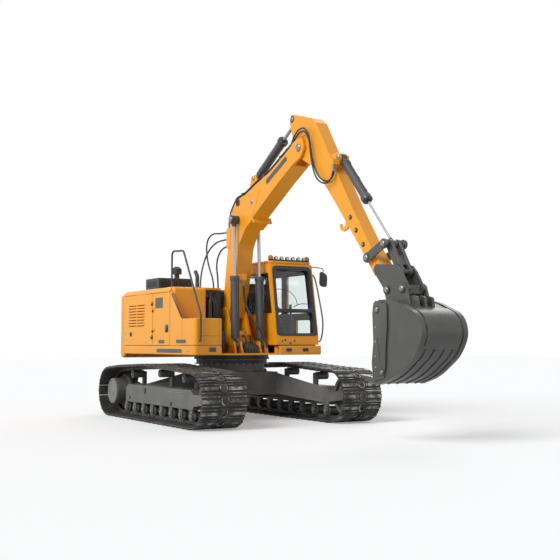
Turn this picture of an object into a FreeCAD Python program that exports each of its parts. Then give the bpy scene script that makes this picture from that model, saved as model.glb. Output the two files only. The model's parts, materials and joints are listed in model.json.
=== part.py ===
import FreeCAD, Part
import math
import os
import re
import Sketcher

# A crawler excavator with a backhoe attachment.
# Frame: +X forward, +Y left, +Z up, origin on the ground under the swing axis.

Vector = FreeCAD.Vector
doc = FreeCAD.newDocument("excavator")

# ---------------------------------------------------------------- driving dimensions

SIZES = {
    # crawler tracks
    "track_length": 4600,
    "track_height": 930,
    "track_gauge": 2650,
    "shoe_width": 800,
    "shoe_count": 52,
    "shoe_plate": 16,
    "grouser_height": 24,
    "link_height": 62,
    "link_width": 180,
    "rise_front": 35,
    "rise_middle": 90,
    "rise_rear": 45,
    "carrier_front": 1000,
    "carrier_rear": -1250,
    # rollers, idlers and sprockets
    "roller_radius": 78,
    "roller_flange": 17,
    "roller_pitch": 400,
    "roller_count": 8,
    "carrier_radius": 70,
    "wheel_gap": 24,
    "carrier_gap": 5,
    "hub_radius": 245,
    "sprocket_teeth": 21,
    # track frames and car frame
    "side_frame_width": 350,
    "side_frame_bottom": 290,
    "side_frame_top": 610,
    "side_frame_front": 1480,
    "side_frame_rear": -1420,
    "car_half": 620,
    "car_bottom": 450,
    "car_top": 860,
    "tow_reach": 80,
    "tow_plate": 60,
    "tow_bore": 35,
    "pedestal_radius": 600,
    "pedestal_top": 1000,
    "ring_radius": 640,
    "ring_height": 84,
    "running_gap": 0.3,
    # upper structure
    "deck_bottom": 1170,
    "deck_plate": 30,
    "house_half_width": 1290,
    "house_rear": -2090,
    "house_front": 1080,
    "tail_corner": -2250,
    "tail_rear": -2640,
    "tail_top": 2330,
    "tail_bottom": 1090,
    "panel": 40,
    "band_top": 1330,
    "beam_height": 190,
    "hood_top": 2380,
    "door_gap": 8,
    "door_line": -670,
    "bay_front": 90,
    "tank_foot": 590,
    "tank_wall": 230,
    "tank_inner": 650,
    "wing_plate": 30,
    "box_top": 1800,
    "box_inner": 760,
    "hinge_radius": 14,
    "hinge_offset": 22,
    "hood_front": -1180,
    "hood_rear": -1760,
    "hood_right": -940,
    "hood_left": -280,
    "hood_rise": 240,
    "louvre": 16,
    "louvre_pitch": 44,
    "grille_slot": 26,
    "grille_pitch": 55,
    "grille_rows": 8,
    "drum_radius": 140,
    "rail_radius": 17,
    "hose_radius": 15,
    "lift_hose_radius": 18,
    "nose_hose_radius": 13,
    # cab
    "cab_inner": 390,
    "cab_rear": -800,
    "cab_front": 950,
    "cab_bottom": 1345,
    "cab_top": 2820,
    "cab_wall": 50,
    "cab_rake": 230,
    "cab_sill": 1500,
    "screen_split": 1970,
    "window_sill": 1920,
    "head_rail": 170,
    "roof_cap": 60,
    "glass": 8,
    # boom, with the foot pin as its anchor
    "foot_x": 40,
    "foot_z": 1900,
    "boom_half": 160,
    "boom_fork": 115,
    "foot_pin": 55,
    "bracket_plate": 40,
    "side_gap": 7,
    # stick, with its pivot as anchor
    "stick_x": 2580,
    "stick_z": 4550,
    "stick_half": 105,
    "stick_pin": 50,
    "tip_x": 4660,
    "tip_z": 2410,
    "tip_pin": 45,
    # cylinders
    "lift_base_x": 620,
    "lift_base_z": 1340,
    "lift_eye_x": 550,
    "lift_eye_z": 3590,
    "lift_side": 255,
    "lift_radius": 78,
    "crowd_base_x": 950,
    "crowd_base_z": 4290,
    "crowd_eye_x": 2300,
    "crowd_eye_z": 5080,
    "crowd_radius": 75,
    "curl_base_x": 3600,
    "curl_base_z": 4230,
    "curl_radius": 62,
    "cylinder_pin": 35,
    "fit_gap": 0.3,
    # bucket linkage and bucket
    "guide_x": 4460,
    "guide_z": 2610,
    "knee_x": 4860,
    "knee_z": 2780,
    "link_x": 5110,
    "link_z": 2370,
    "link_plate": 35,
    "arm_inner": 45,
    "arm_plate": 50,
    "hook_front_x": 4940,
    "hook_rear_x": 5280,
    "hook_z": 2125,
    "bucket_half": 400,
    "bucket_wall": 30,
    "bucket_top": 1960,
    "bucket_floor": 820,
    "tooth_count": 5,
    "tooth_width": 80,
    "wear_plate": 14,
    "cutter_plate": 22,
    "lug_plate": 40,
}

sheet = doc.addObject("Spreadsheet::Sheet", "dims")
for row, (alias, size) in enumerate(SIZES.items(), start=1):
    sheet.set(f"A{row}", alias)
    sheet.set(f"B{row}", str(size))
    sheet.setAlias(f"B{row}", alias)
doc.recompute()


class Dims:
    """The sheet's values, for the shapes that Part's own functions make."""

    def __getattr__(self, alias):
        return float(sheet.get(alias))


dims = Dims()


def bound(expression):
    """Point every size named in an expression at its cell of the sheet."""
    return re.sub(
        r"\b[a-z][a-z0-9_]*\b",
        lambda found: f"dims.{found[0]}" if found[0] in SIZES else found[0],
        str(expression),
    )


# ---------------------------------------------------------------- building blocks


def box(label, x, y, z):
    """A box from the low to the high value of each axis."""
    made = doc.addObject("Part::Box", label)
    for letter, side, span in (("x", "Length", x), ("y", "Width", y), ("z", "Height", z)):
        low = bound(span[0])
        high = bound(span[1])
        made.setExpression(side, f"({high}) - ({low})")
        made.setExpression(f"Placement.Base.{letter}", low)
    return made


TURNS = {
    "x": FreeCAD.Rotation(Vector(0, 1, 0), 90),
    "y": FreeCAD.Rotation(Vector(1, 0, 0), -90),
    "z": FreeCAD.Rotation(),
}


def round_bar(label, radius, along, start, length):
    """A cylinder along one axis from its start point."""
    made = doc.addObject("Part::Cylinder", label)
    made.Placement = FreeCAD.Placement(Vector(), TURNS[along])
    made.setExpression("Radius", bound(radius))
    made.setExpression("Height", bound(length))
    for letter, value in zip("xyz", start):
        made.setExpression(f"Placement.Base.{letter}", bound(value))
    return made


def cross_pin(label, radius, x, z, half):
    """A cylinder along Y, centred on the middle plane."""
    return round_bar(label, radius, "y", (x, f"-({half})", z), f"2 * ({half})")


PLANES = {"XY": "XY_Plane", "XZ": "XZ_Plane", "YZ": "YZ_Plane"}


def prism(label, outline, low, high, plane="XZ"):
    """A body padded from an outline of corners: (across, up) or (across, up, fillet)."""
    body = doc.addObject("PartDesign::Body", label)
    origin = next(o for o in body.Origin.OriginFeatures if o.Role == PLANES[plane])
    sketch = body.newObject("Sketcher::SketchObject", f"{label}_sketch")
    sketch.AttachmentSupport = [(origin, "")]
    sketch.MapMode = "FlatFace"
    offset = f"-({bound(high)})" if plane == "XZ" else bound(low)
    sketch.setExpression("AttachmentOffset.Base.z", offset)
    count = len(outline)
    for corner in range(count):
        begin = Vector(corner * 100.0, (corner % 2) * 100.0 + corner, 0)
        after = (corner + 1) % count
        end = Vector(after * 100.0, (after % 2) * 100.0 + after, 0)
        sketch.addGeometry(Part.LineSegment(begin, end), False)
    for corner in range(count):
        sketch.addConstraint(
            Sketcher.Constraint("Coincident", corner, 2, (corner + 1) % count, 1)
        )
    for corner, point in enumerate(outline):
        for kind, value in (("DistanceX", point[0]), ("DistanceY", point[1])):
            index = sketch.addConstraint(
                Sketcher.Constraint(kind, -1, 1, corner, 1, 1.0)
            )
            sketch.setExpression(f"Constraints[{index}]", bound(value))
    pad = body.newObject("PartDesign::Pad", f"{label}_pad")
    pad.Profile = sketch
    pad.setExpression("Length", f"({bound(high)}) - ({bound(low)})")
    doc.recompute()
    rounded(body, pad, sketch, outline)
    return body


def rounded(body, pad, sketch, outline):
    """Fillet the upright edges of the corners that name a radius."""
    last = pad
    for radius in sorted({point[2] for point in outline if len(point) > 2}, key=str):
        corners = [
            sketch.getGlobalPlacement().multVec(sketch.getPoint(index, 1))
            for index, point in enumerate(outline)
            if len(point) > 2 and point[2] == radius
        ]
        fillet = body.newObject("PartDesign::Fillet", f"{pad.Name}_round")
        fillet.Base = (last, upright_edges(last, sketch, corners))
        fillet.setExpression("Radius", bound(radius))
        doc.recompute()
        last = fillet
    body.Tip = last


def upright_edges(feature, sketch, corners):
    """The names of a pad's straight edges that stand on the given corners."""
    normal = sketch.getGlobalPlacement().Rotation.multVec(Vector(0, 0, 1))
    names = []
    for number, edge in enumerate(feature.Shape.Edges, start=1):
        if len(edge.Vertexes) != 2:
            continue
        first, second = (vertex.Point for vertex in edge.Vertexes)
        run = second - first
        if run.Length < 1 or run.cross(normal).Length > 1e-4 * run.Length:
            continue
        if any((first - spot).cross(normal).Length < 0.01 for spot in corners):
            names.append(f"Edge{number}")
    return names


def fuse(label, *pieces):
    made = doc.addObject("Part::MultiFuse", label)
    made.Shapes = list(pieces)
    made.Refine = True
    return made


def cut(label, base, *tools):
    made = doc.addObject("Part::Cut", label)
    made.Base = base
    made.Tool = tools[0] if len(tools) == 1 else fuse(f"{label}_tools", *tools)
    return made


def mirror(label, source):
    made = doc.addObject("Part::Mirroring", label)
    made.Source = source
    made.Normal = Vector(0, 1, 0)
    return made


def group(label, pieces):
    """Like pieces of one body that share a node."""
    made = doc.addObject("Part::Compound", label)
    made.Links = list(pieces)
    return made


def shaped(label, shape):
    """A shape from Part's own functions as an object of the document."""
    made = doc.addObject("Part::Feature", label)
    made.Shape = shape
    return made


def rounded_path(points, bend=None):
    """Straight runs joined by tangent arcs, as large as the runs allow or of one radius."""
    edges = []
    begin = points[0]
    for before, corner, after in zip(points, points[1:], points[2:]):
        into = (corner - before).normalize()
        out = (after - corner).normalize()
        half_turn = into.getAngle(out) / 2
        reach = 0.45 * min(before.distanceToPoint(corner), corner.distanceToPoint(after))
        if bend:
            reach = min(reach, bend * math.tan(half_turn))
        radius = reach / math.tan(half_turn)
        towards = (out - into).normalize()
        middle = corner + towards * (radius / math.cos(half_turn) - radius)
        start = corner - into * reach
        stop = corner + out * reach
        edges.append(Part.LineSegment(begin, start).toShape())
        edges.append(Part.Arc(start, middle, stop).toShape())
        begin = stop
    edges.append(Part.LineSegment(begin, points[-1]).toShape())
    return Part.Wire(edges)


def tube(label, points, radius, bend=None):
    """A round bar swept along a path of straight runs and arcs."""
    corners = [Vector(*point) for point in points]
    ring = Part.Wire(Part.makeCircle(radius, corners[0], corners[1] - corners[0]))
    return shaped(label, rounded_path(corners, bend).makePipeShell([ring], True, True))


def hose(label, points, radius):
    """A flexible hose along its route; its length, volume and bends are printed."""
    corners = [Vector(*point) for point in points]
    path = rounded_path(corners)
    made = tube(label, points, radius)
    filled = made.Shape.Volume / (math.pi * radius**2 * path.Length)
    if abs(filled - 1) > 0.01:
        raise RuntimeError(f"{label} isn't a full tube: {filled:.3f}")
    bends = [round(edge.Curve.Radius) for edge in path.Edges if hasattr(edge.Curve, "Radius")]
    print(f"{label}: {path.Length:.0f} mm long, bend radii {bends}")
    node(made)


nodes = []


def node(piece):
    nodes.append(piece)
    return piece


def pair(label, source):
    """A right-hand piece and its mirror image on the left, in a node each."""
    source.Label = f"{label}_right"
    nodes.append(source)
    nodes.append(mirror(f"{label}_left", source))


def both_sides(label, pieces):
    """Right-hand pieces and their mirror images, all in one node."""
    node(group(label, pieces + [mirror(f"{piece.Label}_left", piece) for piece in pieces]))


# ---------------------------------------------------------------- tracks


def track_path():
    """Corner points of the inner face of the shoe plates, with the top run humped."""
    height = dims.track_height
    depth = dims.shoe_plate + dims.grouser_height
    centre = (dims.track_length - height) / 2
    radius = height / 2 - depth
    top = height - depth
    points = []
    steps = 12
    for step in range(steps + 1):
        turn = math.radians(-90 + 180 * step / steps)
        points.append((centre + radius * math.cos(turn), height / 2 + radius * math.sin(turn)))
    points.append((dims.carrier_front, top + dims.rise_front))
    points.append((0.0, top + dims.rise_middle))
    points.append((dims.carrier_rear, top + dims.rise_rear))
    for step in range(steps + 1):
        turn = math.radians(90 + 180 * step / steps)
        points.append((-centre + radius * math.cos(turn), height / 2 + radius * math.sin(turn)))
    return points


def along_path(points, distance):
    """The point at a distance along a closed path."""
    closed = points + points[:1]
    for begin, end in zip(closed, closed[1:]):
        run = math.dist(begin, end)
        if distance <= run:
            share = distance / run
            return (
                begin[0] + (end[0] - begin[0]) * share,
                begin[1] + (end[1] - begin[1]) * share,
            )
        distance -= run
    return closed[-1]


def path_length(points):
    closed = points + points[:1]
    return sum(math.dist(a, b) for a, b in zip(closed, closed[1:]))


def joints_of_track():
    """The corners between neighbouring shoes, one for each shoe."""
    points = track_path()
    pitch = path_length(points) / dims.shoe_count
    return [along_path(points, pitch * index) for index in range(int(dims.shoe_count))]


def track_loop(label, centre_y):
    """One closed loop: shoes with three grousers each, on a narrower chain of links."""
    joints = joints_of_track()
    outer = []
    rail = []
    plate = dims.shoe_plate
    tip = plate + dims.grouser_height
    profile = (
        (0.02, plate),
        (0.14, tip),
        (0.30, plate),
        (0.50, tip),
        (0.70, plate),
        (0.86, tip),
        (0.98, plate),
    )
    for begin, end in zip(joints, joints[1:] + joints[:1]):
        run = math.dist(begin, end)
        along = ((end[0] - begin[0]) / run, (end[1] - begin[1]) / run)
        out = (along[1], -along[0])
        for share, rise in profile:
            outer.append(
                (
                    begin[0] + along[0] * run * share + out[0] * rise,
                    begin[1] + along[1] * run * share + out[1] * rise,
                )
            )
        rail.append(
            (
                begin[0] + along[0] * run / 2 - out[0] * dims.link_height,
                begin[1] + along[1] * run / 2 - out[1] * dims.link_height,
            )
        )
    shoes = band(outer, joints, centre_y, dims.shoe_width)
    links = band(joints, rail, centre_y, dims.link_width)
    return shaped(label, shoes.fuse(links).removeSplitter())


def band(outer, inner, centre_y, width):
    """A closed band between two outlines, centred on a plane across Y."""
    low = centre_y - width / 2
    ring = closed_face(outer, low).cut(closed_face(inner, low))
    return ring.extrude(Vector(0, width, 0))


def closed_face(points, y):
    """A flat face across Y from (x, z) corners."""
    corners = [Vector(x, y, z) for x, z in points]
    return Part.Face(Part.makePolygon(corners + corners[:1]))


def tracks():
    half = dims.track_gauge / 2
    node(track_loop("track_right", -half))
    node(track_loop("track_left", half))


# ---------------------------------------------------------------- undercarriage

WHEEL_X = "(track_length - track_height) / 2"
TREAD = "(track_height / 2 - shoe_plate - grouser_height - link_height - wheel_gap)"
MID = "-track_gauge / 2"
FRAME_OUT = f"{MID} - side_frame_width / 2"
FRAME_IN = f"{MID} + side_frame_width / 2"


def side_frames():
    """Box-section side frames with a horn for the final drive and a yoke for the idler."""
    beam = prism(
        "side_beam",
        [
            ("side_frame_rear", "side_frame_bottom"),
            ("side_frame_front", "side_frame_bottom"),
            ("side_frame_front", "side_frame_top - 70"),
            ("side_frame_front - 100", "side_frame_top"),
            ("side_frame_rear + 120", "side_frame_top"),
            ("side_frame_rear", "side_frame_top - 70"),
        ],
        FRAME_OUT,
        FRAME_IN,
    )
    horn = prism(
        "side_horn",
        [
            ("side_frame_rear", "side_frame_bottom + 10"),
            ("side_frame_rear", "side_frame_top - 10"),
            (f"-{WHEEL_X}", "track_height / 2 + 200"),
            (f"-{WHEEL_X}", "track_height / 2 - 200"),
        ],
        f"{FRAME_IN} - 100",
        FRAME_IN,
    )
    horn_eye = round_bar(
        "side_horn_eye", 200, "y", (f"-{WHEEL_X}", f"{FRAME_IN} - 100", "track_height / 2"), 100
    )
    yokes = []
    for name, low in (("outer", FRAME_OUT), ("inner", f"{FRAME_IN} - 38")):
        yokes.append(
            prism(
                f"side_yoke_{name}",
                [
                    ("side_frame_front", "side_frame_bottom + 50"),
                    (f"{WHEEL_X} + 60", "track_height / 2 - 75"),
                    (f"{WHEEL_X} + 120", "track_height / 2"),
                    (f"{WHEEL_X} + 60", "track_height / 2 + 75"),
                    ("side_frame_front", "side_frame_top - 70"),
                ],
                low,
                f"{low} + 38",
            )
        )
    pair("track_frame", fuse("track_frame", beam, horn, horn_eye, *yokes))


def sprockets():
    """A toothed ring with the final drive's drum outside and its motor hub inside."""
    tip = dims.track_height / 2 - dims.shoe_plate - dims.grouser_height - dims.link_height
    tip -= dims.wheel_gap
    centre_x = -(dims.track_length - dims.track_height) / 2
    centre_z = dims.track_height / 2
    corners = []
    count = int(dims.sprocket_teeth)
    for tooth in range(count):
        root = tip - 32
        for share, radius in ((0.0, root), (0.28, root), (0.42, tip), (0.58, tip), (0.72, root)):
            turn = 2 * math.pi * (tooth + share) / count
            corners.append(
                (centre_x + radius * math.cos(turn), centre_z + radius * math.sin(turn))
            )
    ring = closed_face(corners, -dims.track_gauge / 2 - 28)
    toothed = shaped("sprocket_ring", ring.extrude(Vector(0, 56, 0)))
    drum = round_bar(
        "sprocket_drum", "hub_radius", "y", (f"-{WHEEL_X}", f"{MID} - 255", "track_height / 2"), 240
    )
    cover = round_bar(
        "sprocket_cover", "hub_radius - 50", "y", (f"-{WHEEL_X}", f"{MID} - 280", "track_height / 2"), 40
    )
    hub = round_bar(
        "sprocket_hub",
        190,
        "y",
        (f"-{WHEEL_X}", f"{MID} + 10", "track_height / 2"),
        "side_frame_width / 2 - 110",
    )
    both_sides("sprockets", [fuse("sprocket_right", toothed, drum, cover, hub)])


def idlers():
    """A dished wheel whose axle sits between the yoke plates."""
    at = (WHEEL_X, "track_height / 2")
    rim = round_bar("idler_rim", TREAD, "y", (at[0], f"{MID} - 80", at[1]), 160)
    dish_out = round_bar("idler_dish_out", f"{TREAD} - 60", "y", (at[0], f"{MID} - 81", at[1]), 50)
    dish_in = round_bar("idler_dish_in", f"{TREAD} - 60", "y", (at[0], f"{MID} + 31", at[1]), 50)
    wheel = cut("idler_wheel", rim, dish_out, dish_in)
    hub = round_bar("idler_hub", 110, "y", (at[0], f"{MID} - 120", at[1]), 240)
    axle = round_bar(
        "idler_axle", 45, "y", (at[0], f"{FRAME_OUT} + 38", at[1]), "side_frame_width - 76"
    )
    both_sides("idlers", [fuse("idler_right", wheel, hub, axle)])


def bottom_rollers():
    """Double-flanged rollers hung under each side frame."""
    rail = "(shoe_plate + grouser_height + link_height)"
    height = f"{rail} + roller_radius"
    first = "-(roller_count - 1) * roller_pitch / 2 - 50"
    rollers = []
    for index in range(int(dims.roller_count)):
        x = f"{first} + {index} * roller_pitch"
        name = f"bottom_roller_{index}"
        tread = round_bar(
            f"{name}_tread",
            "roller_radius",
            "y",
            (x, f"{MID} - link_width / 2 - 30", height),
            "link_width + 60",
        )
        parts = [tread]
        for side, low in (("out", f"{MID} - link_width / 2 - 19"), ("in", f"{MID} + link_width / 2 + 5")):
            parts.append(
                round_bar(f"{name}_flange_{side}", "roller_radius + roller_flange", "y", (x, low, height), 14)
            )
        for side, low in (("out", f"{MID} - link_width / 2 - 60"), ("in", f"{MID} + link_width / 2 + 25")):
            parts.append(
                box(
                    f"{name}_collar_{side}",
                    (f"{x} - 60", f"{x} + 60"),
                    (low, f"{low} + 35"),
                    (f"{height} - 45", "side_frame_bottom"),
                )
            )
        rollers.append(fuse(name, *parts))
    both_sides("bottom_rollers", rollers)


def carrier_rollers():
    """Three rollers on brackets that hold up the top run."""
    top = "(track_height - shoe_plate - grouser_height - link_height - carrier_radius - carrier_gap)"
    rollers = []
    spots = (("carrier_front", "rise_front"), ("0", "rise_middle"), ("carrier_rear", "rise_rear"))
    for index, (x, rise) in enumerate(spots):
        name = f"carrier_roller_{index}"
        height = f"{top} + {rise}"
        roller = round_bar(f"{name}_wheel", "carrier_radius", "y", (x, f"{MID} - 110", height), 220)
        bracket = box(
            f"{name}_bracket",
            (f"{x} - 55", f"{x} + 55"),
            (f"{MID} + 105", f"{MID} + 155"),
            ("side_frame_top", f"{height} + 50"),
        )
        rollers.append(fuse(name, roller, bracket))
    both_sides("carrier_rollers", rollers)


def arm_section(x, y, width, low, high):
    """A rectangle across X and Z, as one end of a lofted arm."""
    points = [
        Vector(x - width / 2, y, low),
        Vector(x + width / 2, y, low),
        Vector(x + width / 2, y, high),
        Vector(x - width / 2, y, high),
    ]
    return Part.makePolygon(points + points[:1])


def car_frame():
    """The centre box and pedestal with four legs down to the side frames."""
    hub = box(
        "car_hub", ("-car_half", "car_half"), ("-car_half", "car_half"), ("car_bottom", "car_top")
    )
    pedestal = round_bar(
        "car_pedestal", "pedestal_radius", "z", (0, 0, "car_top"), "pedestal_top - car_top"
    )
    legs = []
    reach = dims.track_gauge / 2 - dims.side_frame_width / 2
    for ahead in (1, -1):
        for side in (1, -1):
            inner = arm_section(
                ahead * 380, side * (dims.car_half - 40), 440, dims.car_bottom + 20, dims.car_top - 10
            )
            outer = arm_section(
                ahead * 1050, side * reach, 520, dims.side_frame_bottom + 30, dims.side_frame_top - 10
            )
            legs.append(shaped(f"car_leg_{ahead}_{side}", Part.makeLoft([inner, outer], True, True)))
    eyes = []
    for end, sign in (("front", ""), ("rear", "-")):
        outline = [
            (f"{sign}(car_half - 10)", "-tow_bore - 75"),
            (f"{sign}(car_half + tow_reach + tow_bore + 40)", "-tow_bore - 40", 50),
            (f"{sign}(car_half + tow_reach + tow_bore + 40)", "tow_bore + 40", 50),
            (f"{sign}(car_half - 10)", "tow_bore + 75"),
        ]
        if end == "rear":
            outline.reverse()
        plate = prism(
            f"tow_plate_{end}", outline, "car_bottom + 30", "car_bottom + 30 + tow_plate", "XY"
        )
        bore = round_bar(
            f"tow_bore_{end}",
            "tow_bore",
            "z",
            (f"{sign}(car_half + tow_reach)", 0, "car_bottom"),
            "tow_plate + 60",
        )
        eyes.append(cut(f"tow_eye_{end}", plate, bore))
    node(fuse("car_frame", hub, pedestal, *legs, *eyes))
    node(round_bar("slew_ring", "ring_radius", "z", (0, 0, "pedestal_top"), "ring_height"))


def undercarriage():
    tracks()
    side_frames()
    sprockets()
    idlers()
    bottom_rollers()
    carrier_rollers()
    car_frame()


# ---------------------------------------------------------------- upper structure

DECK_TOP = "deck_bottom + deck_plate"
HALF = "house_half_width"
INNER = "house_half_width - panel"
EAR_IN = "boom_half + side_gap"


def swing_platform():
    """The deck with its slewing base, boom brackets and cylinder ears."""
    deck = box(
        "platform_deck",
        ("house_rear", "house_front - panel"),
        (f"-({INNER})", INNER),
        ("deck_bottom", DECK_TOP),
    )
    base = round_bar(
        "platform_base",
        "ring_radius + 35",
        "z",
        (0, 0, "pedestal_top + ring_height + running_gap"),
        "deck_bottom - pedestal_top - ring_height - running_gap",
    )
    beams = []
    for side, low in (("left", EAR_IN), ("right", f"-({EAR_IN}) - bracket_plate")):
        beams.append(
            prism(
                f"platform_beam_{side}",
                [
                    ("house_rear + 60", DECK_TOP),
                    ("lift_base_x + 150", DECK_TOP),
                    ("lift_base_x + 70", "lift_base_z + 75", 60),
                    ("lift_base_x - 70", "lift_base_z + 75", 60),
                    ("lift_base_x - 130", "lift_base_z + 60"),
                    ("foot_x + 330", "foot_z - 380", 80),
                    ("foot_x + 150", "foot_z + 60", 80),
                    ("foot_x + 40", "foot_z + 130"),
                    ("foot_x - 130", "foot_z + 90", 80),
                    ("foot_x - 420", f"{DECK_TOP} + beam_height", 80),
                    ("house_rear + 60", f"{DECK_TOP} + beam_height"),
                ],
                low,
                f"{low} + bracket_plate",
            )
        )
    ears = []
    pins = []
    for side, sign in (("left", 1), ("right", -1)):
        low = "lift_side + 47" if sign > 0 else "-lift_side - 87"
        ears.append(
            prism(
                f"platform_ear_{side}",
                [
                    ("lift_base_x - 150", DECK_TOP),
                    ("lift_base_x + 150", DECK_TOP),
                    ("lift_base_x + 70", "lift_base_z + 75", 60),
                    ("lift_base_x - 70", "lift_base_z + 75", 60),
                ],
                low,
                f"{low} + 40",
            )
        )
        start = EAR_IN if sign > 0 else "-lift_side - 95"
        pins.append(
            round_bar(
                f"platform_pin_{side}",
                "cylinder_pin",
                "y",
                ("lift_base_x", start, "lift_base_z"),
                f"lift_side + 95 - ({EAR_IN})",
            )
        )
    plinths = [
        box(
            "platform_plinth_right",
            ("bay_front", "house_front - panel"),
            (f"-({INNER})", "-box_inner"),
            (DECK_TOP, "band_top"),
        )
    ]
    for end, x in (("rear", "cab_rear + 120"), ("front", "cab_front - 150")):
        for side, y in (("right", "cab_inner + 120"), ("left", "house_half_width - 150")):
            mount = round_bar(
                f"platform_cab_mount_{end}_{side}", 60, "z", (x, y, DECK_TOP), f"cab_bottom - ({DECK_TOP})"
            )
            plinths.append(mount)
    foot = cross_pin("platform_foot_pin", "foot_pin", "foot_x", "foot_z", f"{EAR_IN} + bracket_plate + 12")
    node(fuse("swing_platform", deck, base, *beams, *ears, *pins, *plinths, foot))


def lower_bands():
    """The painted band around the deck's edge, from the tail to the boom's bay."""
    bands = []
    for side, sign, inner in (("right", "-", "box_inner"), ("left", "", "cab_inner")):
        outline = [
            ("house_rear", f"{sign}({HALF})"),
            ("house_front", f"{sign}({HALF})", 70),
            ("house_front", f"{sign}{inner}"),
            ("house_front - panel", f"{sign}{inner}"),
            ("house_front - panel", f"{sign}({INNER})"),
            ("house_rear", f"{sign}({INNER})"),
        ]
        if side == "left":
            outline.reverse()
        bands.append(prism(f"lower_band_{side}", outline, "deck_bottom", "band_top", "XY"))
    node(group("lower_bands", bands))


def counterweight():
    """The cast tail, rounded in plan."""
    tail = prism(
        "counterweight_casting",
        [
            ("house_rear", HALF),
            ("tail_corner", HALF, 60),
            ("tail_rear", "house_half_width / 2", 450),
            ("tail_rear", "-house_half_width / 2", 450),
            ("tail_corner", f"-{HALF}", 60),
            ("house_rear", f"-{HALF}"),
        ],
        "tail_bottom",
        "tail_top",
        "XY",
    )
    tail.Label = "counterweight"
    node(tail)
    node(
        box(
            "engine_block",
            ("house_rear + 200", "house_rear + 1190"),
            ("-500", "350"),
            (f"{DECK_TOP} + beam_height", f"{DECK_TOP} + beam_height + 800"),
        )
    )


HOOD_HINGES = ("hood_rear + 60", "hood_front - 200")


def roof():
    """The rounded roof over the engine bay, with openings for the hood and the boom."""
    skin = prism(
        "roof_skin",
        [
            (f"-({HALF})", "hood_top - 90"),
            (f"-({HALF})", "hood_top", 85),
            (HALF, "hood_top", 85),
            (HALF, "hood_top - 90"),
            (INNER, "hood_top - 90"),
            (INNER, "hood_top - panel", 45),
            (f"-({INNER})", "hood_top - panel", 45),
            (f"-({INNER})", "hood_top - 90"),
        ],
        "house_rear",
        "bay_front",
        "YZ",
    )
    boom_slot = box(
        "roof_boom_slot", ("-450", "bay_front + 10"), ("-280", "300"), ("hood_top - 200", "hood_top + 10")
    )
    cab_slot = box(
        "roof_cab_slot",
        ("cab_rear - 50", "bay_front + 10"),
        ("290", f"{HALF} + 10"),
        ("hood_top - 200", "hood_top + 10"),
    )
    hood_slot = box(
        "roof_hood_slot",
        ("hood_rear", "hood_front"),
        ("hood_right", "hood_left"),
        ("hood_top - 200", "hood_top + 10"),
    )
    panel = cut("roof_cut", skin, boom_slot, cab_slot, hood_slot)
    barrels = []
    for index, x in enumerate(HOOD_HINGES):
        barrels.append(
            round_bar(
                f"roof_hinge_{index}",
                "hinge_radius",
                "x",
                (x, "hood_left + 22 + hinge_radius", "hood_top + 2 + hinge_radius"),
                60,
            )
        )
        barrels.append(
            box(
                f"roof_hinge_foot_{index}",
                (x, f"{x} + 60"),
                ("hood_left + 25", "hood_left + 20 + 2 * hinge_radius"),
                ("hood_top - 5", "hood_top + hinge_radius"),
            )
        )
    node(fuse("roof_panel", panel, *barrels))


def bulkhead():
    """The folded wall between the engine bay, the boom's bay and the cab."""
    wall = prism(
        "bulkhead_wall",
        [
            ("bay_front", f"-({INNER})"),
            ("bay_front", "-280"),
            ("-450", "-280"),
            ("-450", "300"),
            ("cab_rear - 50", "300"),
            ("cab_rear - 50", INNER),
            ("cab_rear - 80", INNER),
            ("cab_rear - 80", "270"),
            ("-480", "270"),
            ("-480", "-310"),
            ("bay_front - 30", "-310"),
            ("bay_front - 30", f"-({INNER})"),
        ],
        DECK_TOP,
        "hood_top - panel",
        "XY",
    )
    beams = box(
        "bulkhead_beam_way",
        ("-500", "bay_front + 10"),
        (f"-({EAR_IN}) - bracket_plate - 1", f"{EAR_IN} + bracket_plate + 1"),
        (f"{DECK_TOP} - 1", "foot_z - 380"),
    )
    corners = []
    for side, y in (("right", f"-({INNER}) + 6"), ("left", f"{INNER} - 51")):
        corners.append(
            box(
                f"bulkhead_corner_{side}",
                ("house_rear", "house_rear + 45"),
                (y, f"{y} + 45"),
                (DECK_TOP, "hood_top - 95"),
            )
        )
    shoulders = []
    for side, x, y in (
        ("right", ("bay_front - 35", "bay_front + 5"), (f"-({HALF})", f"-({INNER}) + 46")),
        ("left", ("cab_rear - 85", "cab_rear - 45"), (f"{INNER} - 46", HALF)),
    ):
        shoulders.append(box(f"bulkhead_shoulder_{side}", x, y, ("hood_top - 86", "hood_top")))
    walled = cut("bulkhead_cut", wall, beams, *shoulders)
    post = box(
        "bulkhead_door_post",
        ("door_line - 35", "door_line + 35"),
        (f"-({INNER}) + 6", f"-({INNER}) + 51"),
        (DECK_TOP, "hood_top - 95"),
    )
    node(fuse("bulkhead", walled, *corners, post, *DOOR_HINGES))


def upright_hinge(name, x, side, lug, arm, strap_to, low):
    """A stacked hinge outside a wall: the fixed barrel on its bent lug, and the knuckle above."""
    centre = f"{side}({HALF} + hinge_radius + 2)"
    near = f"{side}({HALF} - panel - 8)"
    proud = f"{side}({HALF} + 2)"
    lug_span = (near, centre) if side == "" else (centre, near)
    arm_span = (proud, centre) if side == "" else (centre, proud)
    strap_span = (HALF, f"{HALF} + 10") if side == "" else (f"-({HALF} + 10)", f"-({HALF})")
    fixed = [
        round_bar(f"{name}_barrel", "hinge_radius", "z", (x, centre, low), 40),
        box(f"{name}_lug", lug, lug_span, (low, f"{low} + 40")),
        box(f"{name}_arm", arm, arm_span, (low, f"{low} + 40")),
    ]
    top = f"{low} + 40 + fit_gap"
    moving = [
        round_bar(f"{name}_knuckle", "hinge_radius", "z", (x, centre, top), 40),
        box(f"{name}_strap", strap_to, strap_span, (top, f"{top} + 40")),
    ]
    return fixed, moving


DOOR_HINGES = []


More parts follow.
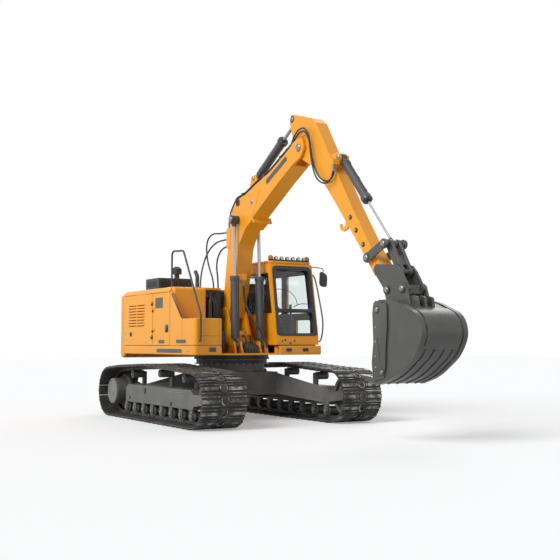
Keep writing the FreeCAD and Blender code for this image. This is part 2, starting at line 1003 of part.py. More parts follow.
def grille_slots(name, columns, low):
    """Rows of cooling slots through a door panel, in columns given by their ends along X."""
    slots = []
    for column, (rear, front) in enumerate(columns):
        for row in range(int(dims.grille_rows)):
            base = f"band_top + 360 + {row} * grille_pitch"
            slots.append(
                box(
                    f"{name}_slot_{column}_{row}",
                    (rear, front),
                    (f"{low} - 10", f"{low} + panel + 10"),
                    (base, f"{base} + grille_slot"),
                )
            )
    return slots


def side_door(name, x_low, x_high, side, hinge_x, lug, arm, strap_to, columns=()):
    """A door panel of the engine bay with its slots and the knuckles that carry it."""
    low = f"-({HALF})" if side == "-" else INNER
    panel = prism(
        f"{name}_panel",
        [
            (f"{x_low} + door_gap", "band_top + door_gap"),
            (f"{x_high} - door_gap", "band_top + door_gap"),
            (f"{x_high} - door_gap", "hood_top - 90 - door_gap"),
            (f"{x_low} + door_gap", "hood_top - 90 - door_gap"),
        ],
        low,
        f"{low} + panel",
    )
    if columns:
        panel = cut(f"{name}_grille", panel, *grille_slots(name, columns, low))
    pieces = [panel]
    for level, height in (("low", HINGE_LEVELS[name][0]), ("high", HINGE_LEVELS[name][1])):
        fixed, moving = upright_hinge(f"{name}_{level}", hinge_x, side, lug, arm, strap_to, height)
        DOOR_HINGES.extend(fixed)
        pieces.extend(moving)
    node(fuse(name, *pieces))


HINGE_LEVELS = {
    "pump_door": ("band_top + 120", "hood_top - 320"),
    "filter_door": ("band_top + 240", "hood_top - 440"),
    "radiator_door": ("band_top + 120", "hood_top - 320"),
    "cab_door": ("cab_bottom + 200", "cab_top - 420"),
}


def doors():
    """Two doors on the right that share one post, and one on the left hung at the tail."""
    line_lug = ("door_line - 3", "door_line + 3")
    side_door(
        "pump_door",
        "house_rear",
        "door_line",
        "-",
        "door_line - hinge_offset",
        line_lug,
        ("door_line - hinge_offset", "door_line"),
        ("door_line - hinge_offset - 70", "door_line - hinge_offset"),
        (("house_rear + 260", "house_rear + 625"), ("house_rear + 660", "house_rear + 1030")),
    )
    side_door(
        "filter_door",
        "door_line",
        "bay_front",
        "-",
        "door_line + hinge_offset",
        line_lug,
        ("door_line", "door_line + hinge_offset"),
        ("door_line + hinge_offset", "door_line + hinge_offset + 70"),
    )
    side_door(
        "radiator_door",
        "house_rear",
        "cab_rear - 50",
        "",
        "house_rear + 4",
        ("house_rear", "house_rear + 3"),
        ("house_rear", "house_rear + 4"),
        ("house_rear + 10", "house_rear + 74"),
        (
            ("house_rear + 160", "house_rear + 480"),
            ("house_rear + 520", "house_rear + 840"),
            ("cab_rear - 370", "cab_rear - 120"),
        ),
    )


def hood():
    """The raised hood over the engine, a hollow lid with louvres on its sides."""
    shell = box(
        "hood_shell",
        ("hood_rear - 20", "hood_front + 20"),
        ("hood_right - 20", "hood_left + 20"),
        ("hood_top + fit_gap", "hood_top + hood_rise"),
    )
    hollow = box(
        "hood_hollow",
        ("hood_rear + 20", "hood_front - 20"),
        ("hood_right + 20", "hood_left - 20"),
        ("hood_top - 1", "hood_top + hood_rise - 30"),
    )
    louvres = []
    across = int((dims.hood_left - dims.hood_right - 60) / dims.louvre_pitch)
    for index in range(across):
        y = f"hood_right + 40 + {index} * louvre_pitch"
        louvres.append(
            box(
                f"hood_louvre_front_{index}",
                ("hood_front - 30", "hood_front + 30"),
                (y, f"{y} + louvre"),
                ("hood_top + 70", "hood_top + hood_rise - 60"),
            )
        )
    along = int((dims.hood_front - dims.hood_rear - 60) / dims.louvre_pitch)
    for index in range(along):
        x = f"hood_rear + 40 + {index} * louvre_pitch"
        louvres.append(
            box(
                f"hood_louvre_right_{index}",
                (x, f"{x} + louvre"),
                ("hood_right - 30", "hood_right + 30"),
                ("hood_top + 70", "hood_top + hood_rise - 60"),
            )
        )
    knuckles = []
    for index, x in enumerate(HOOD_HINGES):
        start = f"{x} + 60 + fit_gap"
        knuckles.append(
            round_bar(
                f"hood_knuckle_{index}",
                "hinge_radius",
                "x",
                (start, "hood_left + 22 + hinge_radius", "hood_top + 2 + hinge_radius"),
                60,
            )
        )
        knuckles.append(
            box(
                f"hood_strap_{index}",
                (start, f"{start} + 60"),
                ("hood_left + 15", "hood_left + 22 + hinge_radius"),
                ("hood_top + 5 + hinge_radius", "hood_top + 2 + 2 * hinge_radius"),
            )
        )
    node(fuse("engine_hood", cut("hood_cut", shell, hollow, *louvres), *knuckles))


def right_front():
    """The fuel tank with the side wing along its step, the step box and the slew drive."""
    lower = box(
        "tank_lower", ("bay_front", "tank_foot"), (f"-({HALF})", "-tank_inner"), ("band_top", "box_top")
    )
    upper = prism(
        "tank_upper",
        [
            ("bay_front", "box_top"),
            ("tank_wall", "box_top"),
            ("tank_wall", "hood_top - 10", 60),
            ("bay_front", "hood_top - 10"),
        ],
        f"-({HALF}) + wing_plate",
        "-tank_inner",
    )
    wing = prism(
        "tank_wing",
        [
            ("bay_front", "box_top"),
            ("tank_foot", "box_top"),
            ("tank_wall - 35", "hood_top - 100", 40),
            ("bay_front", "hood_top - 90"),
        ],
        f"-({HALF})",
        f"-({HALF}) + wing_plate",
    )
    node(fuse("fuel_tank", lower, upper, wing))
    node(
        prism(
            "step_box",
            [
                ("tank_foot", f"-({HALF})"),
                ("house_front", f"-({HALF})", 70),
                ("house_front", "-box_inner"),
                ("tank_foot", "-box_inner"),
            ],
            "band_top",
            "box_top",
            "XY",
        )
    )
    valves = box("valve_bank", ("150", "520"), ("-610", "-400"), (DECK_TOP, f"{DECK_TOP} + 380"))
    ports = box("port_block", ("-450", "-390"), ("-200", "-20"), ("hood_top - 240", "hood_top - 90"))
    node(group("hydraulic_units", [valves, ports]))
    drum = round_bar("slew_drum", "drum_radius", "z", (400, 0, DECK_TOP), "drum_radius * 2 + 60")
    lid = round_bar("slew_lid", "drum_radius - 60", "z", (400, 0, DECK_TOP), "drum_radius * 2 + 110")
    flange = round_bar("slew_flange", "drum_radius + 12", "z", (400, 0, f"{DECK_TOP} + 190"), 36)
    node(fuse("slew_motor", drum, lid, flange))


def house_outside():
    """The handrail, the air pre-cleaner on the hood and the exhaust stack."""
    y = -dims.house_half_width + 105
    top = dims.hood_top
    reach = dims.house_front + 40
    node(
        tube(
            "handrails",
            [
                (-65, y, top),
                (-65, y, 3025),
                (415, y, 2995),
                (reach, y, dims.box_top + 60),
                (reach, y, dims.band_top + 90),
                (dims.house_front, y, dims.band_top + 90),
            ],
            dims.rail_radius,
            90,
        )
    )
    lid_top = "hood_top + hood_rise"
    spot = ("hood_front - 120", "hood_right + 420")
    neck = round_bar("precleaner_neck", 50, "z", (*spot, lid_top), 110)
    head = round_bar("precleaner_head", 92, "z", (*spot, f"{lid_top} + 90"), 100)
    cap = doc.addObject("Part::Cone", "precleaner_cap")
    cap.Radius1 = 100
    cap.Radius2 = 45
    cap.Height = 45
    cap.setExpression("Placement.Base.x", bound(spot[0]))
    cap.setExpression("Placement.Base.y", bound(spot[1]))
    cap.setExpression("Placement.Base.z", bound(f"{lid_top} + 190"))
    node(fuse("precleaner", neck, head, cap))
    stack = tube(
        "exhaust_stack",
        [(-250, -590, top), (-250, -590, top + 230), (-330, -590, top + 320)],
        36,
        80,
    )
    node(stack)


def house():
    swing_platform()
    lower_bands()
    counterweight()
    roof()
    doors()
    bulkhead()
    hood()
    right_front()
    house_outside()


# ---------------------------------------------------------------- cab

CAB_OUT = "house_half_width"
WINDOW_HEAD = "cab_top - head_rail"
DOOR_REAR = "-180"
CAB_LUG = (f"{DOOR_REAR} - 8", f"{DOOR_REAR} + 3")
CAB_STRAP = (f"{DOOR_REAR} + 8", f"{DOOR_REAR} + 70")
CAB_KNUCKLES = []


def cab_side_outline(inset):
    """The side view of the cab, moved inward by a wall's thickness."""
    return [
        (f"cab_rear + {inset}", f"cab_bottom + {inset}"),
        (f"cab_front - {inset}", f"cab_bottom + {inset}"),
        (f"cab_front - {inset}", "cab_sill"),
        (f"cab_front - cab_rake - {inset}", f"cab_top - {inset}"),
        (f"cab_rear + {inset}", f"cab_top - {inset}"),
    ]


def cab_shell():
    """The welded cab: floor, pillars, walls and roof frame, with its windows cut."""
    outer = prism("cab_outer", cab_side_outline("0"), "cab_inner", CAB_OUT)
    inner = prism(
        "cab_hollow", cab_side_outline("cab_wall"), "cab_inner + cab_wall", f"{CAB_OUT} - cab_wall"
    )
    front_ways = [
        box(
            f"cab_front_way_{level}",
            ("cab_front - cab_rake - 120", "cab_front + 50"),
            ("cab_inner + 70", f"{CAB_OUT} - 70"),
            span,
        )
        for level, span in (
            ("low", ("cab_sill + 40", "screen_split - 20")),
            ("high", ("screen_split + 20", "cab_top - 90")),
        )
    ]
    rear_way = box(
        "cab_rear_way",
        ("cab_rear - 10", "cab_rear + cab_wall + 10"),
        ("cab_inner + 120", f"{CAB_OUT} - 120"),
        ("window_sill", WINDOW_HEAD),
    )
    right_front_way = prism(
        "cab_right_front_way",
        [
            ("280", "window_sill"),
            ("cab_front - 160", "window_sill"),
            ("cab_front - 300", WINDOW_HEAD),
            ("280", WINDOW_HEAD),
        ],
        "cab_inner - 10",
        "cab_inner + cab_wall + 10",
    )
    right_rear_way = box(
        "cab_right_rear_way",
        ("cab_rear + 120", "200"),
        ("cab_inner - 10", "cab_inner + cab_wall + 10"),
        ("window_sill", WINDOW_HEAD),
    )
    left_rear_way = box(
        "cab_left_rear_way",
        ("cab_rear + 120", "-260"),
        (f"{CAB_OUT} - cab_wall - 10", f"{CAB_OUT} + 10"),
        ("window_sill", WINDOW_HEAD),
    )
    door_way = prism("cab_door_way", door_outline("0"), f"{CAB_OUT} - cab_wall - 10", f"{CAB_OUT} + 10")
    hinges = []
    for level, height in zip(("low", "high"), HINGE_LEVELS["cab_door"]):
        fixed, moving = upright_hinge(
            f"cab_door_{level}", DOOR_REAR, "", CAB_LUG, CAB_LUG, CAB_STRAP, height
        )
        hinges.extend(fixed)
        CAB_KNUCKLES.extend(moving)
    shell = (
        cut(
            "cab_open_shell",
            outer,
            inner,
            *front_ways,
            rear_way,
            right_front_way,
            right_rear_way,
            left_rear_way,
            door_way,
        )
    )
    node(fuse("cab_shell", shell, *hinges))
    node(
        box(
            "cab_roof",
            ("cab_rear + 20", "cab_front - cab_rake - 10"),
            ("cab_inner + 20", f"{CAB_OUT} - 20"),
            ("cab_top", "cab_top + roof_cap"),
        )
    )


def door_outline(inset):
    """The cab door's corners; its front edge follows the raked pillar."""
    return [
        (f"{DOOR_REAR} + {inset}", f"cab_bottom + 55 + {inset}"),
        (f"cab_front - 90 - {inset}", f"cab_bottom + 55 + {inset}"),
        (f"cab_front - 90 - {inset}", "cab_sill"),
        (f"cab_front - cab_rake - 80 - {inset}", f"cab_top - 100 - {inset}"),
        (f"{DOOR_REAR} + {inset}", f"cab_top - 100 - {inset}"),
    ]


def cab_door():
    """The door in the left wall, with its upper and lower panes cut."""
    leaf = prism("cab_door_leaf", door_outline("door_gap"), f"{CAB_OUT} - cab_wall", CAB_OUT)
    upper = prism(
        "cab_door_upper",
        [
            ("-90", "window_sill"),
            ("cab_front - 240", "window_sill"),
            ("cab_front - cab_rake - 140", WINDOW_HEAD),
            ("-90", WINDOW_HEAD),
        ],
        f"{CAB_OUT} - cab_wall - 10",
        f"{CAB_OUT} + 10",
    )
    lower = box(
        "cab_door_lower",
        ("250", "cab_front - 190"),
        (f"{CAB_OUT} - cab_wall - 10", f"{CAB_OUT} + 10"),
        ("cab_bottom + 150", "window_sill - 110"),
    )
    node(fuse("cab_door", cut("cab_door_open", leaf, upper, lower), *CAB_KNUCKLES))
    node(
        group(
            "cab_door_glass",
            [
                prism(
                    "pane_door_upper",
                    [
                        ("-110", "window_sill - 20"),
                        ("cab_front - 235", "window_sill - 20"),
                        ("cab_front - cab_rake - 135", f"{WINDOW_HEAD} + 20"),
                        ("-110", f"{WINDOW_HEAD} + 20"),
                    ],
                    f"{CAB_OUT} - cab_wall - glass",
                    f"{CAB_OUT} - cab_wall",
                ),
                box(
                    "pane_door_lower",
                    ("230", "cab_front - 170"),
                    (f"{CAB_OUT} - cab_wall - glass", f"{CAB_OUT} - cab_wall"),
                    ("cab_bottom + 130", "window_sill - 90"),
                ),
            ],
        )
    )


def cab_glass():
    """Panes seated on the inner faces of the walls."""
    inner_low = "cab_inner + cab_wall"
    right_front = prism(
        "pane_right_front",
        [
            ("260", "window_sill - 20"),
            ("cab_front - 145", "window_sill - 20"),
            ("cab_front - 285", f"{WINDOW_HEAD} + 20"),
            ("260", f"{WINDOW_HEAD} + 20"),
        ],
        inner_low,
        f"{inner_low} + glass",
    )
    right_rear = box(
        "pane_right_rear",
        ("cab_rear + 100", "220"),
        (inner_low, f"{inner_low} + glass"),
        ("window_sill - 20", f"{WINDOW_HEAD} + 20"),
    )
    left_rear = box(
        "pane_left_rear",
        ("cab_rear + 100", "-240"),
        (f"{CAB_OUT} - cab_wall - glass", f"{CAB_OUT} - cab_wall"),
        ("window_sill - 20", f"{WINDOW_HEAD} + 20"),
    )
    rear = box(
        "pane_rear",
        ("cab_rear + cab_wall", "cab_rear + cab_wall + glass"),
        ("cab_inner + 100", f"{CAB_OUT} - 100"),
        ("window_sill - 20", f"{WINDOW_HEAD} + 20"),
    )
    panes = [right_front, right_rear, left_rear, rear]
    for label, low, high in (
        ("windscreen_lower", "cab_sill + 20", "screen_split - 5"),
        ("windscreen_upper", "screen_split + 5", "cab_top - 70"),
    ):
        panes.append(
            prism(
                label,
                [
                    (f"{screen_x(low)} - glass", low),
                    (screen_x(low), low),
                    (screen_x(high), high),
                    (f"{screen_x(high)} - glass", high),
                ],
                "cab_inner + cab_wall",
                f"{CAB_OUT} - cab_wall",
            )
        )
    node(group("cab_glass", panes))


def screen_x(height):
    """Where the raked front wall's inner face stands at a height."""
    return f"cab_front - cab_wall - ({height} - cab_sill) * cab_rake / (cab_top - cab_wall - cab_sill)"


def cab_fittings():
    """What shows through the panes: the seat, its consoles, levers and pedals."""
    floor = "cab_bottom + cab_wall"
    middle = "(cab_inner + house_half_width) / 2"
    base = box(
        "seat_base", ("-330", "50"), (f"{middle} - 190", f"{middle} + 190"), (floor, f"{floor} + 330")
    )
    cushion = prism(
        "seat_cushion",
        [
            ("-420", f"{floor} + 330"),
            ("130", f"{floor} + 330"),
            ("130", f"{floor} + 450", 40),
            ("-420", f"{floor} + 440"),
        ],
        f"{middle} - 250",
        f"{middle} + 250",
    )
    back = prism(
        "seat_back",
        [
            ("-420", f"{floor} + 400"),
            ("-290", f"{floor} + 400"),
            ("-400", f"{floor} + 1130", 40),
            ("-520", f"{floor} + 1130", 40),
        ],
        f"{middle} - 240",
        f"{middle} + 240",
    )
    node(fuse("seat", base, cushion, back))
    pods = []
    for side, sign in (("right", "-"), ("left", "+")):
        inner = f"{middle} {sign} 265"
        outer = f"{middle} {sign} 370"
        span = (outer, inner) if sign == "-" else (inner, outer)
        pod = box(f"console_pod_{side}", ("-300", "240"), span, (floor, f"{floor} + 480"))
        lever = round_bar(
            f"console_lever_{side}", 14, "z", ("180", f"{middle} {sign} 318", f"{floor} + 480"), 150
        )
        knob = round_bar(
            f"console_knob_{side}", 26, "z", ("180", f"{middle} {sign} 318", f"{floor} + 600"), 110
        )
        pods.append(fuse(f"console_{side}", pod, lever, knob))
    pedals = []
    for side, sign in (("right", "-"), ("left", "+")):
        y = f"{middle} {sign} 70"
        plate = box(f"pedal_{side}", ("560", "720"), (f"{y} - 45", f"{y} + 45"), (floor, f"{floor} + 60"))
        lever = round_bar(f"travel_lever_{side}", 12, "z", ("600", y, f"{floor} + 60"), 520)
        pedals.append(fuse(f"travel_{side}", plate, lever))
    node(group("cab_controls", pods + pedals))


def cab_outside():
    """Roof lamps, beacons, the mirror, the grab bar and the marker lamps under the screen."""
    top = dims.cab_top + dims.roof_cap
    front = dims.cab_front - dims.cab_rake
    low_y = dims.cab_inner
    high_y = dims.house_half_width
    count = 6
    span = high_y - low_y - 300
    bar = box(
        "lamp_bar",
        ("cab_front - cab_rake - 60", "cab_front - cab_rake - 25"),
        ("cab_inner + 130", f"{CAB_OUT} - 130"),
        ("cab_top + roof_cap", "cab_top + roof_cap + 18"),
    )
    lamps = [bar]
    for index in range(count):
        y = low_y + 150 + span * index / (count - 1)
        lamps.append(
            round_bar(f"roof_lamp_{index}", 32, "x", (front - 62, y, top + 46), 46)
        )
    beacons = []
    for side, y in (("right", low_y + 60), ("left", high_y - 60)):
        base = round_bar(f"beacon_base_{side}", 34, "z", (front - 70, y, top), 22)
        dome = doc.addObject("Part::Sphere", f"beacon_dome_{side}")
        dome.Radius = 42
        dome.Placement.Base = Vector(front - 70, y, top + 48)
        beacons.append(fuse(f"beacon_{side}", base, dome))
    node(group("beacons", beacons))
    arm = tube(
        "mirror_arm",
        [
            (front - 60, high_y, dims.cab_top - 50),
            (front - 60, high_y + 90, dims.cab_top - 50),
            (front + 190, high_y + 130, dims.cab_top - 90),
            (front + 190, high_y + 130, dims.cab_top - 330),
        ],
        11,
        40,
    )
    head = box(
        "mirror_head",
        (front + 170, front + 210),
        (high_y + 50, high_y + 215),
        (dims.cab_top - 330, dims.cab_top - 90),
    )
    node(fuse("mirror", arm, head))
    node(
        tube(
            "grab_bar",
            [
                (front - 20, high_y, dims.cab_top - 190),
                (front - 20, high_y + 80, dims.cab_top - 190),
                (dims.cab_front + 40, high_y + 85, 1750),
                (dims.cab_front - 30, high_y + 85, 1400),
                (dims.cab_front - 30, high_y, 1400),
            ],
            14,
            60,
        )
    )
    markers = [
        box(
            f"marker_{side}",
            ("house_front", "house_front + 25"),
            (y, y + 110),
            ("deck_bottom + 60", "deck_bottom + 115"),
        )
        for side, y in (("right", low_y + 130), ("left", low_y + 480))
    ]
    node(group("lamps", [fuse("roof_lamps", *lamps), *markers]))


def cab():
    cab_shell()
    cab_door()
    cab_glass()
    cab_fittings()
    cab_outside()


# ---------------------------------------------------------------- boom, stick and cylinders


def boom():
    """The main boom: a closed box section that forks around the stick."""
    web = prism(
        "boom_web",
        [
            ("foot_x - 100", "foot_z", 60),
            ("foot_x - 35", "foot_z + 450"),
            ("foot_x + 30", "foot_z + 850"),
            ("foot_x + 130", "foot_z + 1350"),
            ("foot_x + 230", "foot_z + 1830", 150),
            ("foot_x + 420", "foot_z + 2060", 200),
            ("foot_x + 760", "foot_z + 2120", 200),
            ("foot_x + 1130", "foot_z + 2250"),
            ("foot_x + 1630", "foot_z + 2400"),
            ("stick_x - 380", "stick_z - 10"),
            ("stick_x - 60", "stick_z + 155", 80),
            ("stick_x + 100", "stick_z + 150", 80),
            ("stick_x + 160", "stick_z - 20", 80),
            ("stick_x + 60", "stick_z - 160", 80),
            ("stick_x - 160", "stick_z - 240"),
            ("foot_x + 1920", "foot_z + 2180"),
            ("foot_x + 1440", "foot_z + 1910"),
            ("foot_x + 1070", "foot_z + 1710"),
            ("foot_x + 750", "foot_z + 1500", 200),
            ("foot_x + 500", "foot_z + 1220", 300),
            ("foot_x + 430", "foot_z + 880"),
            ("foot_x + 320", "foot_z + 450"),
            ("foot_x + 110", "foot_z - 70", 60),
            ("foot_x - 40", "foot_z - 90", 60),
        ],
        "-boom_half",
        "boom_half",
    )
    foot_bore = cross_pin("boom_foot_bore", "foot_pin + fit_gap", "foot_x", "foot_z", "boom_half + 10")
    fork_round = cross_pin("boom_fork_round", 330, "stick_x", "stick_z", "boom_fork")
    ears = prism(
        "boom_crowd_ears",
        [
            ("crowd_base_x - 190", "crowd_base_z - 320"),
            ("crowd_base_x + 210", "crowd_base_z - 230"),
            ("crowd_base_x + 75", "crowd_base_z + 50", 50),
            ("crowd_base_x - 75", "crowd_base_z + 60", 50),
        ],
        "-80",
        "80",
    )
    ear_way = box(
        "boom_ear_way",
        ("crowd_base_x - 220", "crowd_base_x + 240"),
        ("-45", "45"),
        ("crowd_base_z - 110", "crowd_base_z + 200"),
    )
    ears_open = cut("boom_ears_open", ears, ear_way)
    crowd_pin = cross_pin("boom_crowd_pin", "cylinder_pin", "crowd_base_x", "crowd_base_z", "90")
    stick_pin = cross_pin("boom_stick_pin", "stick_pin", "stick_x", "stick_z", "boom_half + 15")
    lift_boss = cross_pin("boom_lift_boss", 95, "lift_eye_x", "lift_eye_z", "boom_half + 12")
    manifold = box("boom_manifold", ("100", "235"), ("-170", "-30"), ("3110", "3480"))
    hanger = box("boom_hose_lug", ("385", "600"), ("-100", "-20"), ("foot_z + 600", "foot_z + 720"))
    shelf = prism(
        "boom_shelf",
        [
            ("foot_x + 730", "foot_z + 1500"),
            ("foot_x + 1000", "foot_z + 1640"),
            ("foot_x + 1030", "foot_z + 1580"),
            ("foot_x + 1060", "foot_z + 1590"),
            ("foot_x + 1010", "foot_z + 1690"),
            ("foot_x + 760", "foot_z + 1560"),
        ],
        "-boom_half",
        "boom_half + 60",
    )
    body = cut("boom_body", web, foot_bore, fork_round)
    node(
        fuse("boom", body, ears_open, crowd_pin, stick_pin, lift_boss, manifold, hanger, shelf)
    )
    boom_pipes(web)


def boom_pipes(web):
    """Two steel pipes from the manifold over the boom's back, held by clamps on its top plate."""
    runs = []
    for index, (y, end) in enumerate(((-142, (2250, 4618)), (-108, (2101.25, 4549.5)))):
        route = [(150, 3480), (150, 3590), (222, 3790), (440, 4002), (790, 4066)]
        route += [(1156, 4194), (1655, 4344), end]
        runs.append(tube(f"boom_pipe_{index}", [(x, y, z) for x, z in route], 13, 110))
    clamps = []
    for index, (x, z) in enumerate(((640, 3940), (1400, 4170), (1960, 4390))):
        block = box(f"boom_clamp_block_{index}", (x, x + 60), (-158, -92), (z, z + 125))
        clamps.append(cut(f"boom_clamp_{index}", block, web))
    node(fuse("boom_pipes", *runs, *clamps))


def stick():
    """The stick: a tapering box section with its tail pin, guide bore and tip boss."""
    web = prism(
        "stick_web",
        [
            ("crowd_eye_x - 80", "crowd_eye_z - 40", 40),
            ("crowd_eye_x - 30", "crowd_eye_z + 90", 60),
            ("stick_x + 310", "stick_z + 430", 120),
            ("stick_x + 440", "stick_z + 330", 60),
            ("stick_x + 720", "stick_z - 100"),
            ("stick_x + 1420", "stick_z - 1150"),
            ("tip_x - 400", "tip_z + 640"),
            ("tip_x - 180", "tip_z + 330"),
            ("tip_x + 95", "tip_z + 20", 40),
            ("tip_x + 20", "tip_z - 95", 40),
            ("tip_x - 100", "tip_z - 70", 40),
            ("tip_x - 390", "tip_z + 290"),
            ("stick_x + 1000", "stick_z - 1050"),
            ("stick_x + 390", "stick_z - 380", 200),
            ("stick_x + 20", "stick_z - 195"),
            ("stick_x - 160", "stick_z - 90", 80),
        ],
        "-stick_half",
        "stick_half",
    )
    bores = [
        cross_pin("stick_pivot_bore", "stick_pin + fit_gap", "stick_x", "stick_z", "stick_half + 10"),
        cross_pin("stick_tip_bore", "tip_pin + fit_gap", "tip_x", "tip_z", "stick_half + 10"),
        cross_pin("stick_guide_bore", "40 + fit_gap", "guide_x", "guide_z", "stick_half + 10"),
        cross_pin("stick_tail_way", 240, "crowd_eye_x", "crowd_eye_z", "60"),
        box(
            "stick_tail_slot",
            ("crowd_eye_x - 200", "crowd_eye_x"),
            ("-60", "60"),
            ("crowd_eye_z - 240", "crowd_eye_z + 240"),
        ),
    ]
    ears = prism(
        "stick_curl_ears",
        [
            ("curl_base_x - 225", "curl_base_z + 70"),
            ("curl_base_x - 30", "curl_base_z + 75", 50),
            ("curl_base_x + 65", "curl_base_z + 10", 50),
            ("curl_base_x + 50", "curl_base_z - 60", 50),
            ("curl_base_x - 75", "curl_base_z - 155"),
        ],
        "-85",
        "85",
    )
    ear_way = prism(
        "stick_ear_way",
        [
            ("curl_base_x - 250", "curl_base_z + 195"),
            ("curl_base_x + 200", "curl_base_z + 195"),
            ("curl_base_x + 200", "curl_base_z - 305"),
            ("curl_base_x + 83", "curl_base_z - 305"),
        ],
        "-48",
        "48",
    )
    ears_open = cut("stick_ears_open", ears, ear_way)
    curl_pin = cross_pin("stick_curl_pin", "cylinder_pin", "curl_base_x", "curl_base_z", "95")
    ports = box(
        "stick_port_block",
        ("curl_base_x - 35", "curl_base_x + 50"),
        ("-stick_half - 100", "-84"),
        ("curl_base_z - 130", "curl_base_z - 45"),
    )
    hook = prism(
        "stick_hook",
        [
            ("stick_x + 1200", "stick_z - 1190"),
            ("stick_x + 1125", "stick_z - 1260"),
            ("stick_x + 1110", "stick_z - 1380"),
            ("stick_x + 1065", "stick_z - 1415"),
            ("stick_x + 1015", "stick_z - 1395"),
            ("stick_x + 992", "stick_z - 1345"),
            ("stick_x + 958", "stick_z - 1355"),
            ("stick_x + 980", "stick_z - 1435"),
            ("stick_x + 1060", "stick_z - 1470"),
            ("stick_x + 1155", "stick_z - 1445"),
            ("stick_x + 1220", "stick_z - 1380"),
            ("stick_x + 1300", "stick_z - 1360"),
        ],
        "-15",
        "15",
    )
    body = cut("stick_body", web, *bores)
    node(fuse("stick", body, ears_open, curl_pin, ports, hook))


def cylinder(name, base, eye, y, radius, barrel_length, rod_start, base_half, eye_half, eye_pin_half):
    """A hydraulic cylinder: the barrel with its base eye, and the rod with its own eye and pin."""
    start = Vector(base[0], y, base[1])
    end = Vector(eye[0], y, eye[1])
    run = end - start
    along = Vector(run).normalize()
    across = Vector(0, 1, 0)
    gap = dims.fit_gap
    rod_radius = radius * 0.55
    neck = Part.makeCylinder(base_half - 2, barrel_length / 2, start, along)
    casing = Part.makeCylinder(radius, barrel_length - 115, start + along * 115, along)
    gland = Part.makeCylinder(radius * 1.14, 70, start + along * (barrel_length - 70), along)
    base_eye = Part.makeCylinder(radius * 0.95, 2 * base_half, start - across * base_half, across)
    bore = Part.makeCylinder(rod_radius + gap, barrel_length, start + along * 150, along)
    pin_bore = Part.makeCylinder(dims.cylinder_pin + gap, 4 * base_half, start - across * 2 * base_half, across)
    barrel = casing.fuse([neck, gland, base_eye]).cut(bore).cut(pin_bore).removeSplitter()
    rod = Part.makeCylinder(rod_radius, run.Length - rod_start - 20, start + along * rod_start, along)
    rod_eye = Part.makeCylinder(radius * 0.95, 2 * eye_half, end - across * eye_half, across)
    eye_pin = Part.makeCylinder(dims.cylinder_pin + 5, 2 * eye_pin_half, end - across * eye_pin_half, across)
    ram = rod.fuse([rod_eye, eye_pin]).removeSplitter()
    node(shaped(f"{name}_barrel", barrel))
    node(shaped(f"{name}_rod", ram))


def cylinders():
    for side, sign in (("right", -1), ("left", 1)):
        cylinder(
            f"lift_cylinder_{side}",
            (dims.lift_base_x, dims.lift_base_z),
            (dims.lift_eye_x, dims.lift_eye_z),
            sign * dims.lift_side,
            dims.lift_radius,
            1230,
            950,
            40,
            40,
            76,
        )
    cylinder(
        "crowd_cylinder",
        (dims.crowd_base_x, dims.crowd_base_z),
        (dims.crowd_eye_x, dims.crowd_eye_z),
        0,
        dims.crowd_radius,
        1046,
        560,
        40,
        48,
        54,
    )
    cylinder(
        "curl_cylinder",
        (dims.curl_base_x, dims.curl_base_z),
        (dims.knee_x, dims.knee_z),
        0,
        dims.curl_radius,
        1000,
        520,
        42,
        38,
        44,
    )


# ---------------------------------------------------------------- bucket and its linkage


def bucket_links():
    """The guide links on the stick's tip and the link down to the coupler."""
    plates = []
    for side, low in (("right", "-stick_half - 50 - link_plate"), ("left", "stick_half + 50")):
        web = prism(
            f"guide_web_{side}",
            [
                ("guide_x - 30", "guide_z + 55"),
                ("guide_x + 25", "guide_z - 60"),
                ("knee_x + 25", "knee_z - 55"),
                ("knee_x - 35", "knee_z + 55"),
            ],
            low,
            f"{low} + link_plate",
        )
        plates.append(web)
        plates.append(
            round_bar(f"guide_boss_{side}", 75, "y", ("guide_x", low, "guide_z"), "link_plate")
        )
        plates.append(
            round_bar(f"knee_boss_{side}", 72, "y", ("knee_x", low, "knee_z"), "link_plate")
        )
        start = "50" if side == "left" else "-stick_half - 95"
        plates.append(
            round_bar(f"knee_pin_{side}", "cylinder_pin", "y", ("knee_x", start, "knee_z"), "stick_half + 45")
        )
    guide_pin = cross_pin("guide_pin", 40, "guide_x", "guide_z", "stick_half + 95")
    node(fuse("guide_links", *plates, guide_pin))

    arms = []
    for side, low in (("right", "-arm_inner - arm_plate"), ("left", "arm_inner")):
        arms.append(
            prism(
                f"link_arm_{side}",
                [
                    ("knee_x - 55", "knee_z - 30"),
                    ("link_x - 55", "link_z - 25"),
                    ("link_x + 55", "link_z + 25"),
                    ("knee_x + 55", "knee_z + 30"),
                ],
                low,
                f"{low} + arm_plate",
            )
        )
        arms.append(round_bar(f"link_boss_{side}", 66, "y", ("link_x", low, "link_z"), "arm_plate"))
        arms.append(round_bar(f"link_head_{side}", 68, "y", ("knee_x", low, "knee_z"), "arm_plate"))
    bridge = prism(
        "link_bridge",
        [
            ("knee_x + 65", "knee_z - 210"),
            ("link_x - 85", "link_z + 70"),
            ("link_x - 15", "link_z + 105"),
            ("knee_x + 140", "knee_z - 170"),
        ],
        "-arm_inner - 1",
        "arm_inner + 1",
    )
    pin = cross_pin("link_pin", 40, "link_x", "link_z", "stick_half + 5")
    knee_bore = cross_pin("link_knee_bore", "cylinder_pin + fit_gap", "knee_x", "knee_z", "200")
    node(cut("bucket_link", fuse("bucket_link_solid", *arms, bridge, pin), knee_bore))


